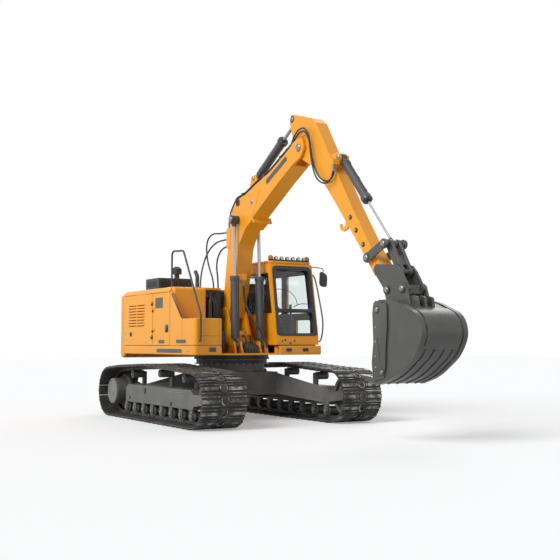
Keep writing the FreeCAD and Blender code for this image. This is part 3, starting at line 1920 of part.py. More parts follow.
def coupler():
    """The quick coupler between the stick's tip and the bucket's pins."""
    plates = []
    for side, low in (("right", "-stick_half - 10 - link_plate"), ("left", "stick_half + 10")):
        plates.append(
            prism(
                f"coupler_plate_{side}",
                [
                    ("tip_x - 95", "tip_z + 10", 40),
                    ("tip_x - 30", "tip_z + 95", 40),
                    ("link_x", "link_z + 95", 40),
                    ("link_x + 95", "link_z", 40),
                    ("hook_rear_x + 95", "hook_z", 40),
                    ("hook_rear_x + 40", "hook_z - 90", 40),
                    ("hook_front_x - 20", "hook_z - 90", 40),
                    ("hook_front_x - 90", "hook_z - 20", 40),
                ],
                low,
                f"{low} + link_plate",
            )
        )
    bridge = box(
        "coupler_bridge",
        ("hook_front_x - 40", "hook_rear_x + 40"),
        ("-stick_half - 11", "stick_half + 11"),
        ("hook_z - 70", "hook_z + 50"),
    )
    tip_pin = cross_pin("coupler_tip_pin", "tip_pin", "tip_x", "tip_z", "stick_half + 46")
    front_pin = cross_pin("coupler_front_pin", 40, "hook_front_x", "hook_z", "stick_half + 100")
    rear_pin = cross_pin("coupler_rear_pin", 40, "hook_rear_x", "hook_z", "stick_half + 100")
    node(fuse("quick_coupler", *plates, bridge, tip_pin, front_pin, rear_pin))


def bucket():
    """The bucket shell, open to the rear, with ears for the coupler's pins and its teeth."""
    solid = prism(
        "bucket_solid",
        [
            ("hook_front_x - 5", "bucket_top"),
            ("hook_front_x + 390", "bucket_top", 900),
            ("hook_front_x + 930", "bucket_top - 210", 300),
            ("hook_front_x + 1005", "bucket_top - 470", 270),
            ("hook_front_x + 850", "bucket_floor + 400", 600),
            ("hook_front_x + 420", "bucket_floor + 105", 1200),
            ("hook_front_x + 50", "bucket_floor"),
        ],
        "-bucket_half",
        "bucket_half",
    )
    hollow = shaped("bucket_hollow", bucket_hollow(solid.Shape))
    mouth = box(
        "bucket_mouth",
        ("hook_front_x - 100", "hook_front_x + 80"),
        ("bucket_wall - bucket_half", "bucket_half - bucket_wall"),
        ("bucket_floor + bucket_wall", "bucket_top - bucket_wall"),
    )
    ears = []
    for side, low in (("right", "-stick_half - 48 - link_plate"), ("left", "stick_half + 48")):
        ears.append(
            prism(
                f"bucket_ear_{side}",
                [
                    ("hook_front_x", "bucket_top - 20"),
                    ("hook_front_x - 75", "hook_z", 50),
                    ("hook_front_x", "hook_z + 80", 50),
                    ("hook_rear_x + 20", "hook_z + 80", 50),
                    ("hook_rear_x + 85", "hook_z", 50),
                    ("hook_rear_x + 170", "bucket_top - 65"),
                    ("hook_front_x + 230", "bucket_top - 20"),
                ],
                low,
                f"{low} + link_plate",
            )
        )
    bores = [
        cross_pin("bucket_front_bore", "40 + fit_gap", "hook_front_x", "hook_z", "stick_half + 110"),
        cross_pin("bucket_rear_bore", "40 + fit_gap", "hook_rear_x", "hook_z", "stick_half + 110"),
    ]
    open_shell = cut("bucket_open", solid, hollow, mouth)
    extras = bucket_plates(solid.Shape)
    node(cut("bucket_shell", fuse("bucket_whole", open_shell, *ears, *extras), *bores))
    teeth = []
    count = int(dims.tooth_count)
    for index in range(count):
        centre = f"({index} - (tooth_count - 1) / 2) * (2 * bucket_half - tooth_width - 20) / (tooth_count - 1)"
        teeth.append(
            prism(
                f"bucket_tooth_{index}",
                [
                    ("hook_front_x + 50", "bucket_floor"),
                    ("hook_front_x - 140", "bucket_floor + 5"),
                    ("hook_front_x - 375", "bucket_floor + 100"),
                    ("hook_front_x - 380", "bucket_floor + 125"),
                    ("hook_front_x - 140", "bucket_floor + 100"),
                    ("hook_front_x + 46", "bucket_floor + 70"),
                ],
                f"{centre} - tooth_width / 2",
                f"{centre} + tooth_width / 2",
            )
        )
    node(group("bucket_teeth", teeth))


def bucket_plates(solid):
    """What is welded on the shell: back plate, wear bands, side cutters and lifting lugs."""
    side = min(solid.Faces, key=lambda face: face.CenterOfMass.y)
    swollen = Part.Face(side.OuterWire.makeOffset2D(dims.wear_plate))
    half = dims.bucket_half
    low = dims.bucket_floor - 50
    high = dims.bucket_top + 50
    rear = dims.hook_front_x + 80
    bands = (
        ("back_plate", -half + 110, half - 110, dims.bucket_top - 620, dims.bucket_top - 110),
        ("band_right", -half, -half + 75, low, high),
        ("band_left", half - 75, half, low, high),
        ("strip_right", -half + 150, -half + 180, low, dims.bucket_top - 680),
        ("strip_middle_right", -half + 300, -half + 330, low, dims.bucket_top - 680),
        ("strip_middle_left", half - 330, half - 300, low, dims.bucket_top - 680),
        ("strip_left", half - 180, half - 150, low, dims.bucket_top - 680),
    )
    plates = []
    for name, right, left, foot, head in bands:
        room = Part.makeBox(1300, left - right, head - foot, Vector(rear, right, foot))
        sheet_metal = swollen.copy()
        sheet_metal.translate(Vector(0, right + half, 0))
        band_solid = sheet_metal.extrude(Vector(0, left - right, 0)).common(room).cut(solid)
        plates.append(shaped(f"bucket_{name}", band_solid))
    for name, y in (("right", "-bucket_half - cutter_plate"), ("left", "bucket_half")):
        plates.append(
            prism(
                f"bucket_cutter_{name}",
                [
                    ("hook_front_x - 5", "bucket_top - 10", 60),
                    ("hook_front_x + 200", "bucket_top - 10", 60),
                    ("hook_front_x + 205", "bucket_top - 480"),
                    ("hook_front_x + 250", "bucket_top - 640"),
                    ("hook_front_x + 220", "bucket_floor + 90"),
                    ("hook_front_x - 20", "bucket_floor + 40"),
                    ("hook_front_x - 50", "bucket_floor + 300", 60),
                    ("hook_front_x - 10", "bucket_top - 560"),
                    ("hook_front_x - 30", "bucket_top - 170"),
                ],
                y,
                f"{y} + cutter_plate",
            )
        )
    for index, y in enumerate(("-150", "0 - lug_plate / 2", "150 - lug_plate")):
        plates.append(
            prism(
                f"bucket_lug_{index}",
                [
                    ("hook_rear_x + 120", "bucket_top - 40"),
                    ("hook_rear_x + 290", "bucket_top - 105"),
                    ("hook_rear_x + 265", "bucket_top + 40", 40),
                    ("hook_rear_x + 150", "bucket_top + 75", 40),
                ],
                y,
                f"{y} + lug_plate",
            )
        )
    return plates


def bucket_hollow(solid):
    """The room inside the bucket: its side outline moved in by the wall, without end walls."""
    side = min(solid.Faces, key=lambda face: face.CenterOfMass.y)
    outline = side.OuterWire.makeOffset2D(-dims.bucket_wall)
    room = Part.Face(outline)
    room.translate(Vector(0, dims.bucket_wall, 0))
    return room.extrude(Vector(0, 2 * (dims.bucket_half - dims.bucket_wall), 0))


def hoses():
    """The hoses that cross the boom's foot and the ones that loop round its nose."""
    boom_hoses = (
        [
            (100, -150, 3410),
            (-180, -150, 3410),
            (-480, -165, 3450),
            (-705, -175, 3320),
            (-700, -175, 3040),
            (-590, -170, 2780),
            (-425, -160, 2540),
            (-425, -160, 2290),
        ],
        [
            (100, -105, 3290),
            (-150, -105, 3290),
            (-410, -130, 3270),
            (-630, -180, 3120),
            (-720, -240, 2870),
            (-690, -310, 2600),
            (-690, -310, 2380),
        ],
        [
            (100, -60, 3180),
            (-140, -60, 3180),
            (-360, -80, 3080),
            (-450, -100, 2850),
            (-420, -70, 2560),
            (-420, -70, 2290),
        ],
    )
    for index, route in enumerate(boom_hoses):
        hose(f"boom_hose_{index}", route, dims.hose_radius)
    hose(
        "lift_hose",
        [
            (560, -60, 2500),
            (560, -60, 2340),
            (590, -55, 2140),
            (640, -20, 1950),
            (700, 50, 1790),
            (765, 150, 1660),
            (800, 235, 1500),
            (805, 275, 1345),
            (805, 275, 1200),
        ],
        dims.lift_hose_radius,
    )
    nose_hoses = (
        [
            (2250, -142, 4618),
            (2428.5, -142, 4700.2),
            (2620, -182, 4790),
            (2830, -196, 4780),
            (2955, -196, 4610),
            (2990, -192, 4390),
            (3035, -190, 4180),
            (3125, -190, 3990),
            (3275, -190, 3870),
            (3460, -190, 3830),
            (3625, -190, 3925),
            (3625, -190, 4100),
        ],
        [
            (2101.25, -108, 4549.5),
            (2250, -108, 4618),
            (2390, -144, 4740),
            (2570, -158, 4850),
            (2770, -158, 4850),
            (2895, -154, 4670),
            (2935, -148, 4450),
            (2985, -144, 4240),
            (3090, -144, 4050),
            (3230, -144, 3930),
            (3395, -144, 3875),
            (3520, -144, 3905),
            (3590, -144, 4000),
            (3590, -144, 4100),
        ],
    )
    for index, route in enumerate(nose_hoses):
        hose(f"nose_hose_{index}", route, dims.nose_hose_radius)


def front_end():
    boom()
    stick()
    cylinders()
    hoses()
    bucket_links()
    coupler()
    bucket()


undercarriage()
house()
cab()
front_end()
doc.recompute()

# ---------------------------------------------------------------- checks and files


def failed(made):
    return any(word in ("Invalid", "Error") for word in made.State)


broken = [made.Label for made in doc.Objects if failed(made)]
for piece in nodes:
    if piece.Shape.isNull() or not piece.Shape.isValid() or not piece.Shape.Solids:
        broken.append(piece.Label)
if broken:
    raise RuntimeError(f"these objects did not build: {sorted(set(broken))}")

os.makedirs("parts", exist_ok=True)
for piece in nodes:
    piece.Shape.exportStep(f"parts/{piece.Label}.step")
    print(piece.Label, len(piece.Shape.Solids), round(piece.Shape.Volume / 1e9, 4))
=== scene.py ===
import json
import math

import bmesh
import bpy
from mathutils import Matrix, Vector


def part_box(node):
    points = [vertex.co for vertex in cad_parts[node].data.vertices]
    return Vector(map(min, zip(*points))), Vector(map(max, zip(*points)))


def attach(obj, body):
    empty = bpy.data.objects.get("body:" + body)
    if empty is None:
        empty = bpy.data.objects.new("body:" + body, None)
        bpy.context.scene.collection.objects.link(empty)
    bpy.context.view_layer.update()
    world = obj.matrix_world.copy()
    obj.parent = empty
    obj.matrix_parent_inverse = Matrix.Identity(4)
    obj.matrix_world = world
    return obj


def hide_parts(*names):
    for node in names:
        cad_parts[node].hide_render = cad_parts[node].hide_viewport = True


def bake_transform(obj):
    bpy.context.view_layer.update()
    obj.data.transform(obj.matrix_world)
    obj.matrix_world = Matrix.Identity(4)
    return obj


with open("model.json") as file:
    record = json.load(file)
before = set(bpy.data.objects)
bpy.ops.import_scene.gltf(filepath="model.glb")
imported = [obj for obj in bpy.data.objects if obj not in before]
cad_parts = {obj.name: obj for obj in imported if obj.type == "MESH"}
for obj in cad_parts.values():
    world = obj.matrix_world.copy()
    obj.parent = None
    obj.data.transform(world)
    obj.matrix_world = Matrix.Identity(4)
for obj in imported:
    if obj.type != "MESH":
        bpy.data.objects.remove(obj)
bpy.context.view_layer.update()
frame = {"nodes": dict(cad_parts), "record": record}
nodes = frame["nodes"]
body_of = {node: body for body, members in frame["record"]["behaviour"]["bodies"].items() for node in members}
slot_of = {part["node"]: part["material_slot"] for part in frame["record"]["subparts"]}


# ---------------------------------------------------------------- studio
# A white sweep lit broadly from the machine's right side and weakly from behind its
# left, with a camera low in front of the right track, looking slightly up.

CAMERA_PLACE = Vector((15.47, -8.243, 1.395))
CAMERA_AIM = Vector((0.458, 0.764, 2.543))
CAMERA_LENS = 60.85

view = bpy.data.cameras.new("studio_camera")
view.lens = CAMERA_LENS
view.sensor_width = 36.0
view.clip_end = 200.0
camera = bpy.data.objects.new("studio_camera", view)
camera.location = CAMERA_PLACE
camera.rotation_euler = (CAMERA_AIM - CAMERA_PLACE).to_track_quat("-Z", "Y").to_euler()
bpy.context.scene.collection.objects.link(camera)
bpy.context.scene.camera = camera
bpy.context.scene.view_settings.view_transform = "Standard"


def lamp(name, place, strength, spread):
    """A far, broad light that falls on everything alike from one side."""
    glow = bpy.data.lights.new(name, "SUN")
    glow.energy = strength
    glow.angle = math.radians(spread)
    holder = bpy.data.objects.new(name, glow)
    holder.location = place
    holder.rotation_euler = Vector(place).to_track_quat("Z", "Y").to_euler()
    bpy.context.scene.collection.objects.link(holder)


lamp("key_light", (3.0, -12.0, 8.4), 2.4, 34.0)
lamp("back_light", (-7.0, 8.0, 6.0), 0.7, 50.0)


def add_node(tree, kind, values=(), **settings):
    """A node with its settings, and with plain values on its sockets."""
    made = tree.nodes.new(kind)
    for name, value in settings.items():
        setattr(made, name, value)
    for socket, value in dict(values).items():
        made.inputs[socket].default_value = value
    return made


def wire(tree, *runs):
    """Links, each from one node's output to another node's input."""
    for source, out, target, into in runs:
        tree.links.new(source.outputs[out], target.inputs[into])


WHITE = (1.0, 1.0, 1.0, 1.0)
studio = bpy.data.worlds.new("studio_air")
studio.use_nodes = True
bpy.context.scene.world = studio
air = studio.node_tree
air.nodes.clear()
rays = add_node(air, "ShaderNodeLightPath")
direct = add_node(air, "ShaderNodeMath", operation="MAXIMUM")
seen = add_node(air, "ShaderNodeMath", operation="MAXIMUM")
backdrop = add_node(air, "ShaderNodeBackground", {"Color": WHITE, "Strength": 1.0})
ambient = add_node(air, "ShaderNodeBackground", {"Color": (0.94, 0.97, 1.0, 1.0), "Strength": 0.36})
chooser = add_node(air, "ShaderNodeMixShader")
wire(
    air,
    (rays, "Is Camera Ray", direct, 0),
    (rays, "Is Transmission Ray", direct, 1),
    (direct, 0, seen, 0),
    (rays, "Is Glossy Ray", seen, 1),
    (seen, 0, chooser, "Fac"),
    (ambient, 0, chooser, 1),
    (backdrop, 0, chooser, 2),
    (chooser, 0, add_node(air, "ShaderNodeOutputWorld"), "Surface"),
)

FLOOR_HALF = 60.0
FLOOR_LIFT = 0.26
floor_mesh = bpy.data.meshes.new("studio_floor")
floor_mesh.from_pydata(
    [(x * FLOOR_HALF, y * FLOOR_HALF, 0) for x, y in ((-1, -1), (1, -1), (1, 1), (-1, 1))], [], [(0, 1, 2, 3)]
)
floor = bpy.data.objects.new("studio_floor", floor_mesh)
bpy.context.scene.collection.objects.link(floor)
floor_paint = bpy.data.materials.new("studio_floor_paint")
floor_paint.use_nodes = True
floor_tree = floor_paint.node_tree
floor_tree.nodes.clear()
floor_rays = add_node(floor_tree, "ShaderNodeLightPath")
floor_matte = add_node(floor_tree, "ShaderNodeBsdfDiffuse", {"Color": (0.80, 0.80, 0.80, 1.0)})
floor_lift = add_node(floor_tree, "ShaderNodeEmission", {"Color": WHITE})
lift_amount = add_node(floor_tree, "ShaderNodeMath", {1: FLOOR_LIFT}, operation="MULTIPLY")
floor_sum = add_node(floor_tree, "ShaderNodeAddShader")
wire(
    floor_tree,
    (floor_rays, "Is Camera Ray", lift_amount, 0),
    (lift_amount, 0, floor_lift, "Strength"),
    (floor_matte, 0, floor_sum, 0),
    (floor_lift, 0, floor_sum, 1),
    (floor_sum, 0, add_node(floor_tree, "ShaderNodeOutputMaterial"), "Surface"),
)
floor_mesh.materials.append(floor_paint)


# ---------------------------------------------------------------- finishes
# Every surface is sprayed, cast, rolled or moulded: a slightly uneven colour, a fine
# grain, bare metal where edges rub, and dust that thins out with height; on the grouser tops
# of the track shoes that bare colour is partly wear and partly painted highlight.

def add_sockets(tree, way, kind, *names):
    for name in names:
        tree.interface.new_socket(name, in_out=way, socket_type=f"NodeSocket{kind}")


weathering = bpy.data.node_groups.new("weathering", "ShaderNodeTree")
add_sockets(weathering, "INPUT", "Color", "Colour", "Bare", "Dust")
add_sockets(
    weathering, "INPUT", "Float", "Mottle", "Wear", "Dust Amount", "Roughness", "Roughness Spread", "Grain Scale"
)
add_sockets(weathering, "OUTPUT", "Color", "Colour")
add_sockets(weathering, "OUTPUT", "Float", "Roughness", "Height")

w_in = add_node(weathering, "NodeGroupInput")
w_out = add_node(weathering, "NodeGroupOutput")
w_place = add_node(weathering, "ShaderNodeTexCoord")


def w_noise(scale, detail, source=None):
    """A noise on object coordinates; a source takes the place of its scale."""
    made = add_node(weathering, "ShaderNodeTexNoise", {"Scale": scale, "Detail": detail})
    wire(weathering, (w_place, "Object", made, "Vector"))
    if source is not None:
        weathering.links.new(source, made.inputs["Scale"])
    return made.outputs["Fac"]


def w_range(value, low, high, to_low=0.0, to_high=1.0):
    limits = {"From Min": low, "From Max": high, "To Min": to_low, "To Max": to_high}
    made = add_node(weathering, "ShaderNodeMapRange", limits, clamp=True)
    weathering.links.new(value, made.inputs["Value"])
    return made.outputs["Result"]


def w_math(operation, first, second):
    made = add_node(weathering, "ShaderNodeMath", operation=operation)
    for socket, value in zip(made.inputs, (first, second)):
        if isinstance(value, float):
            socket.default_value = value
        else:
            weathering.links.new(value, socket)
    return made.outputs[0]


def w_mix(share, first, second):
    made = add_node(weathering, "ShaderNodeMix", data_type="RGBA")
    for socket, value in (("Factor", share), ("A", first), ("B", second)):
        weathering.links.new(value, made.inputs[socket])
    return made.outputs["Result"]


blotch = w_range(w_noise(1.3, 5.0), 0.3, 0.7, -1.0, 1.0)
speck = w_range(w_noise(26.0, 4.0), 0.3, 0.7, -1.0, 1.0)
unevenness = w_math("ADD", w_math("MULTIPLY", blotch, 0.7), w_math("MULTIPLY", speck, 0.3))
tone = w_math("ADD", 1.0, w_math("MULTIPLY", unevenness, w_in.outputs["Mottle"]))
toned = add_node(weathering, "ShaderNodeVectorMath", operation="SCALE")
weathering.links.new(w_in.outputs["Colour"], toned.inputs[0])
weathering.links.new(tone, toned.inputs["Scale"])
# The mask marks rubbed edges and the track shoes' grouser tops; on those tops the lighter colour is partly wear and
# partly painted highlight.
rim = add_node(weathering, "ShaderNodeAttribute", attribute_name="rim")
rubbed_and_highlit = w_math("MULTIPLY", w_range(w_noise(9.0, 6.0), 0.46, 0.60), rim.outputs["Fac"])
worn_and_highlit = w_math("MULTIPLY", rubbed_and_highlit, w_in.outputs["Wear"])
bared_and_highlit = w_mix(worn_and_highlit, toned.outputs[0], w_in.outputs["Bare"])
place_parts = add_node(weathering, "ShaderNodeSeparateXYZ")
weathering.links.new(w_place.outputs["Object"], place_parts.inputs[0])
low_down = w_range(place_parts.outputs["Z"], 0.1, 2.6, 1.0, 0.12)
settled = w_math("MULTIPLY", w_range(w_noise(3.1, 7.0), 0.40, 0.72), low_down)
dusty = w_math("MULTIPLY", settled, w_in.outputs["Dust Amount"])
weathering.links.new(w_mix(dusty, bared_and_highlit, w_in.outputs["Dust"]), w_out.inputs["Colour"])
scuffs = w_math("MULTIPLY", unevenness, w_in.outputs["Roughness Spread"])
weathering.links.new(
    w_math("ADD", w_math("ADD", w_in.outputs["Roughness"], scuffs), w_math("MULTIPLY", dusty, 0.3)),
    w_out.inputs["Roughness"],
)
grain = w_noise(200.0, 3.0, w_in.outputs["Grain Scale"])
ripple = w_noise(5.0, 2.0)
weathering.links.new(
    w_math("ADD", w_math("MULTIPLY", grain, 0.5), w_math("MULTIPLY", ripple, 0.8)),
    w_out.inputs["Height"],
)


DUST = (0.36, 0.33, 0.29, 1.0)


def finish(name, colour, rough, bare=(0.30, 0.29, 0.28), mottle=0.05, wear=0.5, dusting=0.15, spread=0.05,
           grain_scale=220.0, bump=0.0015, metallic=0.0, coat=0.0):
    """A sprayed or cast surface; the group's values are this finish's own."""
    made = bpy.data.materials.new(name)
    made.use_nodes = True
    tree = made.node_tree
    surface = tree.nodes["Principled BSDF"]
    for socket, value in (("Metallic", metallic), ("Coat Weight", coat), ("Coat Roughness", 0.12)):
        surface.inputs[socket].default_value = value
    mix = add_node(
        tree, "ShaderNodeGroup",
        {"Colour": (*colour, 1.0), "Bare": (*bare, 1.0), "Dust": DUST, "Mottle": mottle, "Wear": wear,
         "Dust Amount": dusting, "Roughness": rough, "Roughness Spread": spread, "Grain Scale": grain_scale},
        node_tree=weathering,
    )
    relief = add_node(tree, "ShaderNodeBump", {"Strength": 0.35, "Distance": bump})
    wire(
        tree,
        (mix, "Colour", surface, "Base Color"),
        (mix, "Roughness", surface, "Roughness"),
        (mix, "Height", relief, "Height"),
        (relief, "Normal", surface, "Normal"),
    )
    return made


machine_yellow = finish("machine_yellow", (0.87, 0.345, 0.006), 0.40, mottle=0.035, wear=0.35, dusting=0.05,
                        bump=0.0006, coat=0.12)
cast_yellow = finish("cast_yellow", (0.85, 0.335, 0.006), 0.42, mottle=0.05, dusting=0.08, grain_scale=90.0,
                     bump=0.002, coat=0.15)
frame_grey = finish("frame_grey", (0.105, 0.105, 0.103), 0.48, mottle=0.12, wear=0.5, dusting=0.22, bump=0.001)
shoe_steel = finish("shoe_steel", (0.048, 0.047, 0.045), 0.50, bare=(0.34, 0.335, 0.33), mottle=0.2, wear=1.0,
                    dusting=0.25, grain_scale=120.0, bump=0.002, metallic=0.35)
tool_grey = finish("tool_grey", (0.080, 0.079, 0.076), 0.34, bare=(0.34, 0.33, 0.32), mottle=0.14, wear=0.8,
                   dusting=0.10, bump=0.0010, metallic=0.35, coat=0.15)
barrel_grey = finish("barrel_grey", (0.058, 0.063, 0.066), 0.35, mottle=0.08, dusting=0.08, bump=0.0006, coat=0.2)
trim_black = finish("trim_black", (0.035, 0.036, 0.038), 0.5, mottle=0.1, dusting=0.12, bump=0.001)
rail_black = finish("rail_black", (0.045, 0.048, 0.05), 0.38, mottle=0.06, dusting=0.05, bump=0.0006, coat=0.2)
iron_grey = finish("iron_grey", (0.16, 0.16, 0.155), 0.6, mottle=0.2, dusting=0.3, grain_scale=80.0, bump=0.003)
moulded_black = finish("moulded_black", (0.03, 0.03, 0.032), 0.55, mottle=0.08, dusting=0.06, grain_scale=500.0,
                       bump=0.0008)
seat_cloth = finish("seat_cloth", (0.05, 0.052, 0.06), 0.85, mottle=0.15, wear=0.0, grain_scale=700.0, bump=0.002)
hose_black = finish("hose_black", (0.022, 0.022, 0.023), 0.42, mottle=0.1, wear=0.0, dusting=0.08, bump=0.0008)
rod_chrome = finish("rod_chrome", (0.44, 0.45, 0.47), 0.20, mottle=0.02, wear=0.0, dusting=0.0, spread=0.02,
                    bump=0.00002, metallic=1.0)
bolt_zinc = finish("bolt_zinc", (0.42, 0.41, 0.40), 0.35, mottle=0.1, dusting=0.1, metallic=0.9)
amber_lens = finish("amber_lens", (0.62, 0.19, 0.01), 0.15, mottle=0.03, wear=0.0, dusting=0.0, coat=0.6)

clear_pane = bpy.data.materials.new("clear_pane")
clear_pane.use_nodes = True
pane_surface = clear_pane.node_tree.nodes["Principled BSDF"]
for socket, value in (
    ("Base Color", (0.90, 0.95, 0.95, 1.0)), ("Roughness", 0.02), ("IOR", 1.45), ("Transmission Weight", 1.0),
):
    pane_surface.inputs[socket].default_value = value

FINISH_OF_SLOT = {
    "body_paint": machine_yellow,
    "casting": cast_yellow,
    "frame_paint": frame_grey,
    "track_steel": shoe_steel,
    "tool_paint": tool_grey,
    "cylinder_paint": barrel_grey,
    "chrome": rod_chrome,
    "dark_trim": trim_black,
    "pane": clear_pane,
    "seat_cloth": seat_cloth,
    "plastic": moulded_black,
    "amber": amber_lens,
    "hose_rubber": hose_black,
    "engine_iron": iron_grey,
}
for node, piece in nodes.items():
    piece.data.materials.clear()
    piece.data.materials.append(FINISH_OF_SLOT[slot_of[node]])


# ---------------------------------------------------------------- tracks
# Each track is a closed chain of forged links and pins, with a rolled steel shoe bolted
# to every pair of links: three grousers, cut out over the middle for the chain's boss.

def placed(name, mesh):
    made = bpy.data.objects.new(name, mesh)
    bpy.context.scene.collection.objects.link(made)
    return made


def smoothed(mesh, angle=32.0):
    for face in mesh.polygons:
        face.use_smooth = True
    mesh.set_sharp_from_angle(angle=math.radians(angle))


def evaluated(piece):
    """A new mesh of the piece as its modifiers or its curve make it."""
    graph = bpy.context.evaluated_depsgraph_get()
    return bpy.data.meshes.new_from_object(piece.evaluated_get(graph))


def baked(piece):
    """The piece with its modifiers applied."""
    mesh = evaluated(piece)
    piece.modifiers.clear()
    old = piece.data
    piece.data = mesh
    if isinstance(old, bpy.types.Mesh):
        bpy.data.meshes.remove(old)
    mesh.name = piece.name
    return piece


def corners_of(low, high):
    """The four corners of an upright rectangle."""
    return [low, (high[0], low[1]), high, (low[0], high[1])]


def add_plate(shell, outline, low, high, plane="XZ"):
    """A flat plate between two planes, from its outline's corners."""
    low, high = sorted((low, high))

    def corner(first, second, depth):
        if plane == "XZ":
            return (first, depth, second)
        if plane == "YZ":
            return (depth, first, second)
        return (first, second, depth)

    near = [shell.verts.new(corner(a, b, low)) for a, b in outline]
    far = [shell.verts.new(corner(a, b, high)) for a, b in outline]
    shell.faces.new(near)
    shell.faces.new(list(reversed(far)))
    for index in range(len(outline)):
        after = (index + 1) % len(outline)
        shell.faces.new((near[after], near[index], far[index], far[after]))


def add_block(shell, low, high):
    add_plate(shell, corners_of((low[0], low[2]), (high[0], high[2])), low[1], high[1])


def basis(axis):
    """An axis and two directions square to it."""
    direction = Vector(axis).normalized()
    across = direction.orthogonal().normalized()
    return direction, across, direction.cross(across)


def add_bands(shell, loops, closed=False):
    """Faces between loops of points in turn; a loop of one point is a tip."""
    for first, second in zip(loops, loops[1:] + loops[:1] if closed else loops[1:]):
        count = max(len(first), len(second))
        for index in range(count):
            after = (index + 1) % count
            if len(first) == 1:
                shell.faces.new((first[0], second[after], second[index]))
            elif len(second) == 1:
                shell.faces.new((first[index], first[after], second[0]))
            else:
                shell.faces.new((first[index], first[after], second[after], second[index]))


def add_turned(shell, start, axis, profile, sides=24, ring=False):
    """A turned part: its profile is pairs of distance along the axis and radius; a ring is open."""
    direction, across, other = basis(axis)
    turns = [2 * math.pi * (step + 0.5) / sides for step in range(sides)]
    rings = []
    for along, radius in profile:
        centre = Vector(start) + direction * along
        rings.append([
            shell.verts.new(centre + (across * math.cos(turn) + other * math.sin(turn)) * radius)
            for turn in (turns if radius else turns[:1])
        ])
    add_bands(shell, rings, ring)
    for end in () if ring else (rings[0], rings[-1]):
        if len(end) > 1:
            shell.faces.new(end)


def mesh_of(name, shell, paint=None):
    """A shell as a mesh in its finish, with its faces outward."""
    bmesh.ops.recalc_face_normals(shell, faces=shell.faces)
    mesh = bpy.data.meshes.new(name)
    shell.to_mesh(mesh)
    shell.free()
    if paint:
        mesh.materials.append(paint)
    return mesh


def riding(piece, body, replaced=()):
    """The piece carried by its body, and standing for the solids it replaces."""
    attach(piece, body)
    if replaced:
        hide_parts(*replaced)
    return piece


def finished(name, shell, body, paint, bevel=0.0, replaced=()):
    """A shell made a named piece: faces outward, edges rounded, riding on its body."""
    piece = placed(name, mesh_of(name, shell, paint))
    if bevel:
        rounding = piece.modifiers.new("rounding", "BEVEL")
        rounding.width = bevel
        rounding.segments = 2
        rounding.limit_method = "ANGLE"
        rounding.angle_limit = math.radians(30)
        baked(piece)
    smoothed(piece.data)
    return riding(piece, body, replaced)


def set_on_points(tree, way_in, template):
    """The end of both trees: a part on every point, turned, made real and given its finish."""
    turn, size = (
        add_node(tree, "GeometryNodeInputNamedAttribute", {"Name": name}, data_type="FLOAT_VECTOR")
        for name in ("turn", "size")
    )
    rotation = add_node(tree, "FunctionNodeEulerToRotation")
    spread = add_node(tree, "GeometryNodeInstanceOnPoints")
    real = add_node(tree, "GeometryNodeRealizeInstances")
    paint = add_node(tree, "GeometryNodeSetMaterial")
    wire(
        tree,
        (way_in, "Geometry", spread, "Points"),
        (template, "Geometry", spread, "Instance"),
        (turn, "Attribute", rotation, 0),
        (rotation, 0, spread, "Rotation"),
        (size, "Attribute", spread, "Scale"),
        (spread, "Instances", real, "Geometry"),
        (real, "Geometry", paint, "Geometry"),
        (way_in, "Finish", paint, "Material"),
        (paint, "Geometry", add_node(tree, "NodeGroupOutput"), "Geometry"),
    )


repeats = bpy.data.node_groups.new("pieces_on_points", "GeometryNodeTree")
add_sockets(repeats, "INPUT", "Geometry", "Geometry")
add_sockets(repeats, "INPUT", "Object", "Template")
add_sockets(repeats, "INPUT", "Material", "Finish")
add_sockets(repeats, "OUTPUT", "Geometry", "Geometry")
r_in = add_node(repeats, "NodeGroupInput")
r_template = add_node(repeats, "GeometryNodeObjectInfo")
wire(repeats, (r_in, "Template", r_template, "Object"))
set_on_points(repeats, r_in, r_template)


def socket_id(tree, name):
    return next(
        item.identifier for item in tree.interface.items_tree
        if item.item_type == "SOCKET" and item.in_out == "INPUT" and item.name == name
    )


def point_cloud(name, spots):
    """Points with a turn and a size each, from (place, turn as a matrix, size) triples."""
    mesh = bpy.data.meshes.new(name)
    mesh.from_pydata([tuple(place) for place, _, _ in spots], [], [])
    turns = mesh.attributes.new("turn", "FLOAT_VECTOR", "POINT")
    sizes = mesh.attributes.new("size", "FLOAT_VECTOR", "POINT")
    for index, (_, turn, size) in enumerate(spots):
        turns.data[index].vector = turn.to_euler("XYZ")
        sizes.data[index].vector = size if hasattr(size, "__len__") else (size, size, size)
    return placed(name, mesh)


def repeated(name, template, spots, body, paint, replaced=()):
    """The template set on every spot, as one plain mesh."""
    pattern = mesh_of(f"{name}_pattern", template.copy())
    smoothed(pattern)
    source = placed(f"{name}_pattern", pattern)
    piece = point_cloud(name, spots)
    spread = piece.modifiers.new("spread", "NODES")
    spread.node_group = repeats
    spread[socket_id(repeats, "Template")] = source
    spread[socket_id(repeats, "Finish")] = paint
    baked(piece)
    bpy.data.objects.remove(source)
    bpy.data.meshes.remove(pattern)
    return riding(piece, body, replaced)


TRACK_LENGTH = 4.6
TRACK_HEIGHT = 0.93
TRACK_CENTRE = 1.325
SHOE_WIDTH = 0.80
SHOE_COUNT = 52
SHOE_PLATE = 0.016
GROUSER = 0.024
LINK_WIDTH = 0.18


def track_corners():
    """The line of the shoes' inner faces, resting on the three carrier rollers."""
    depth = SHOE_PLATE + GROUSER
    centre = (TRACK_LENGTH - TRACK_HEIGHT) / 2
    radius = TRACK_HEIGHT / 2 - depth
    top = TRACK_HEIGHT - depth
    steps = 12
    corners = []
    for side, first in ((1, -90), (-1, 90)):
        for step in range(steps + 1):
            turn = math.radians(first + 180 * step / steps)
            corners.append((
                side * centre + radius * math.cos(turn), TRACK_HEIGHT / 2 + radius * math.sin(turn)
            ))
        if side > 0:
            corners += [(1.0, top + 0.035), (0.0, top + 0.09), (-1.25, top + 0.045)]
    return corners


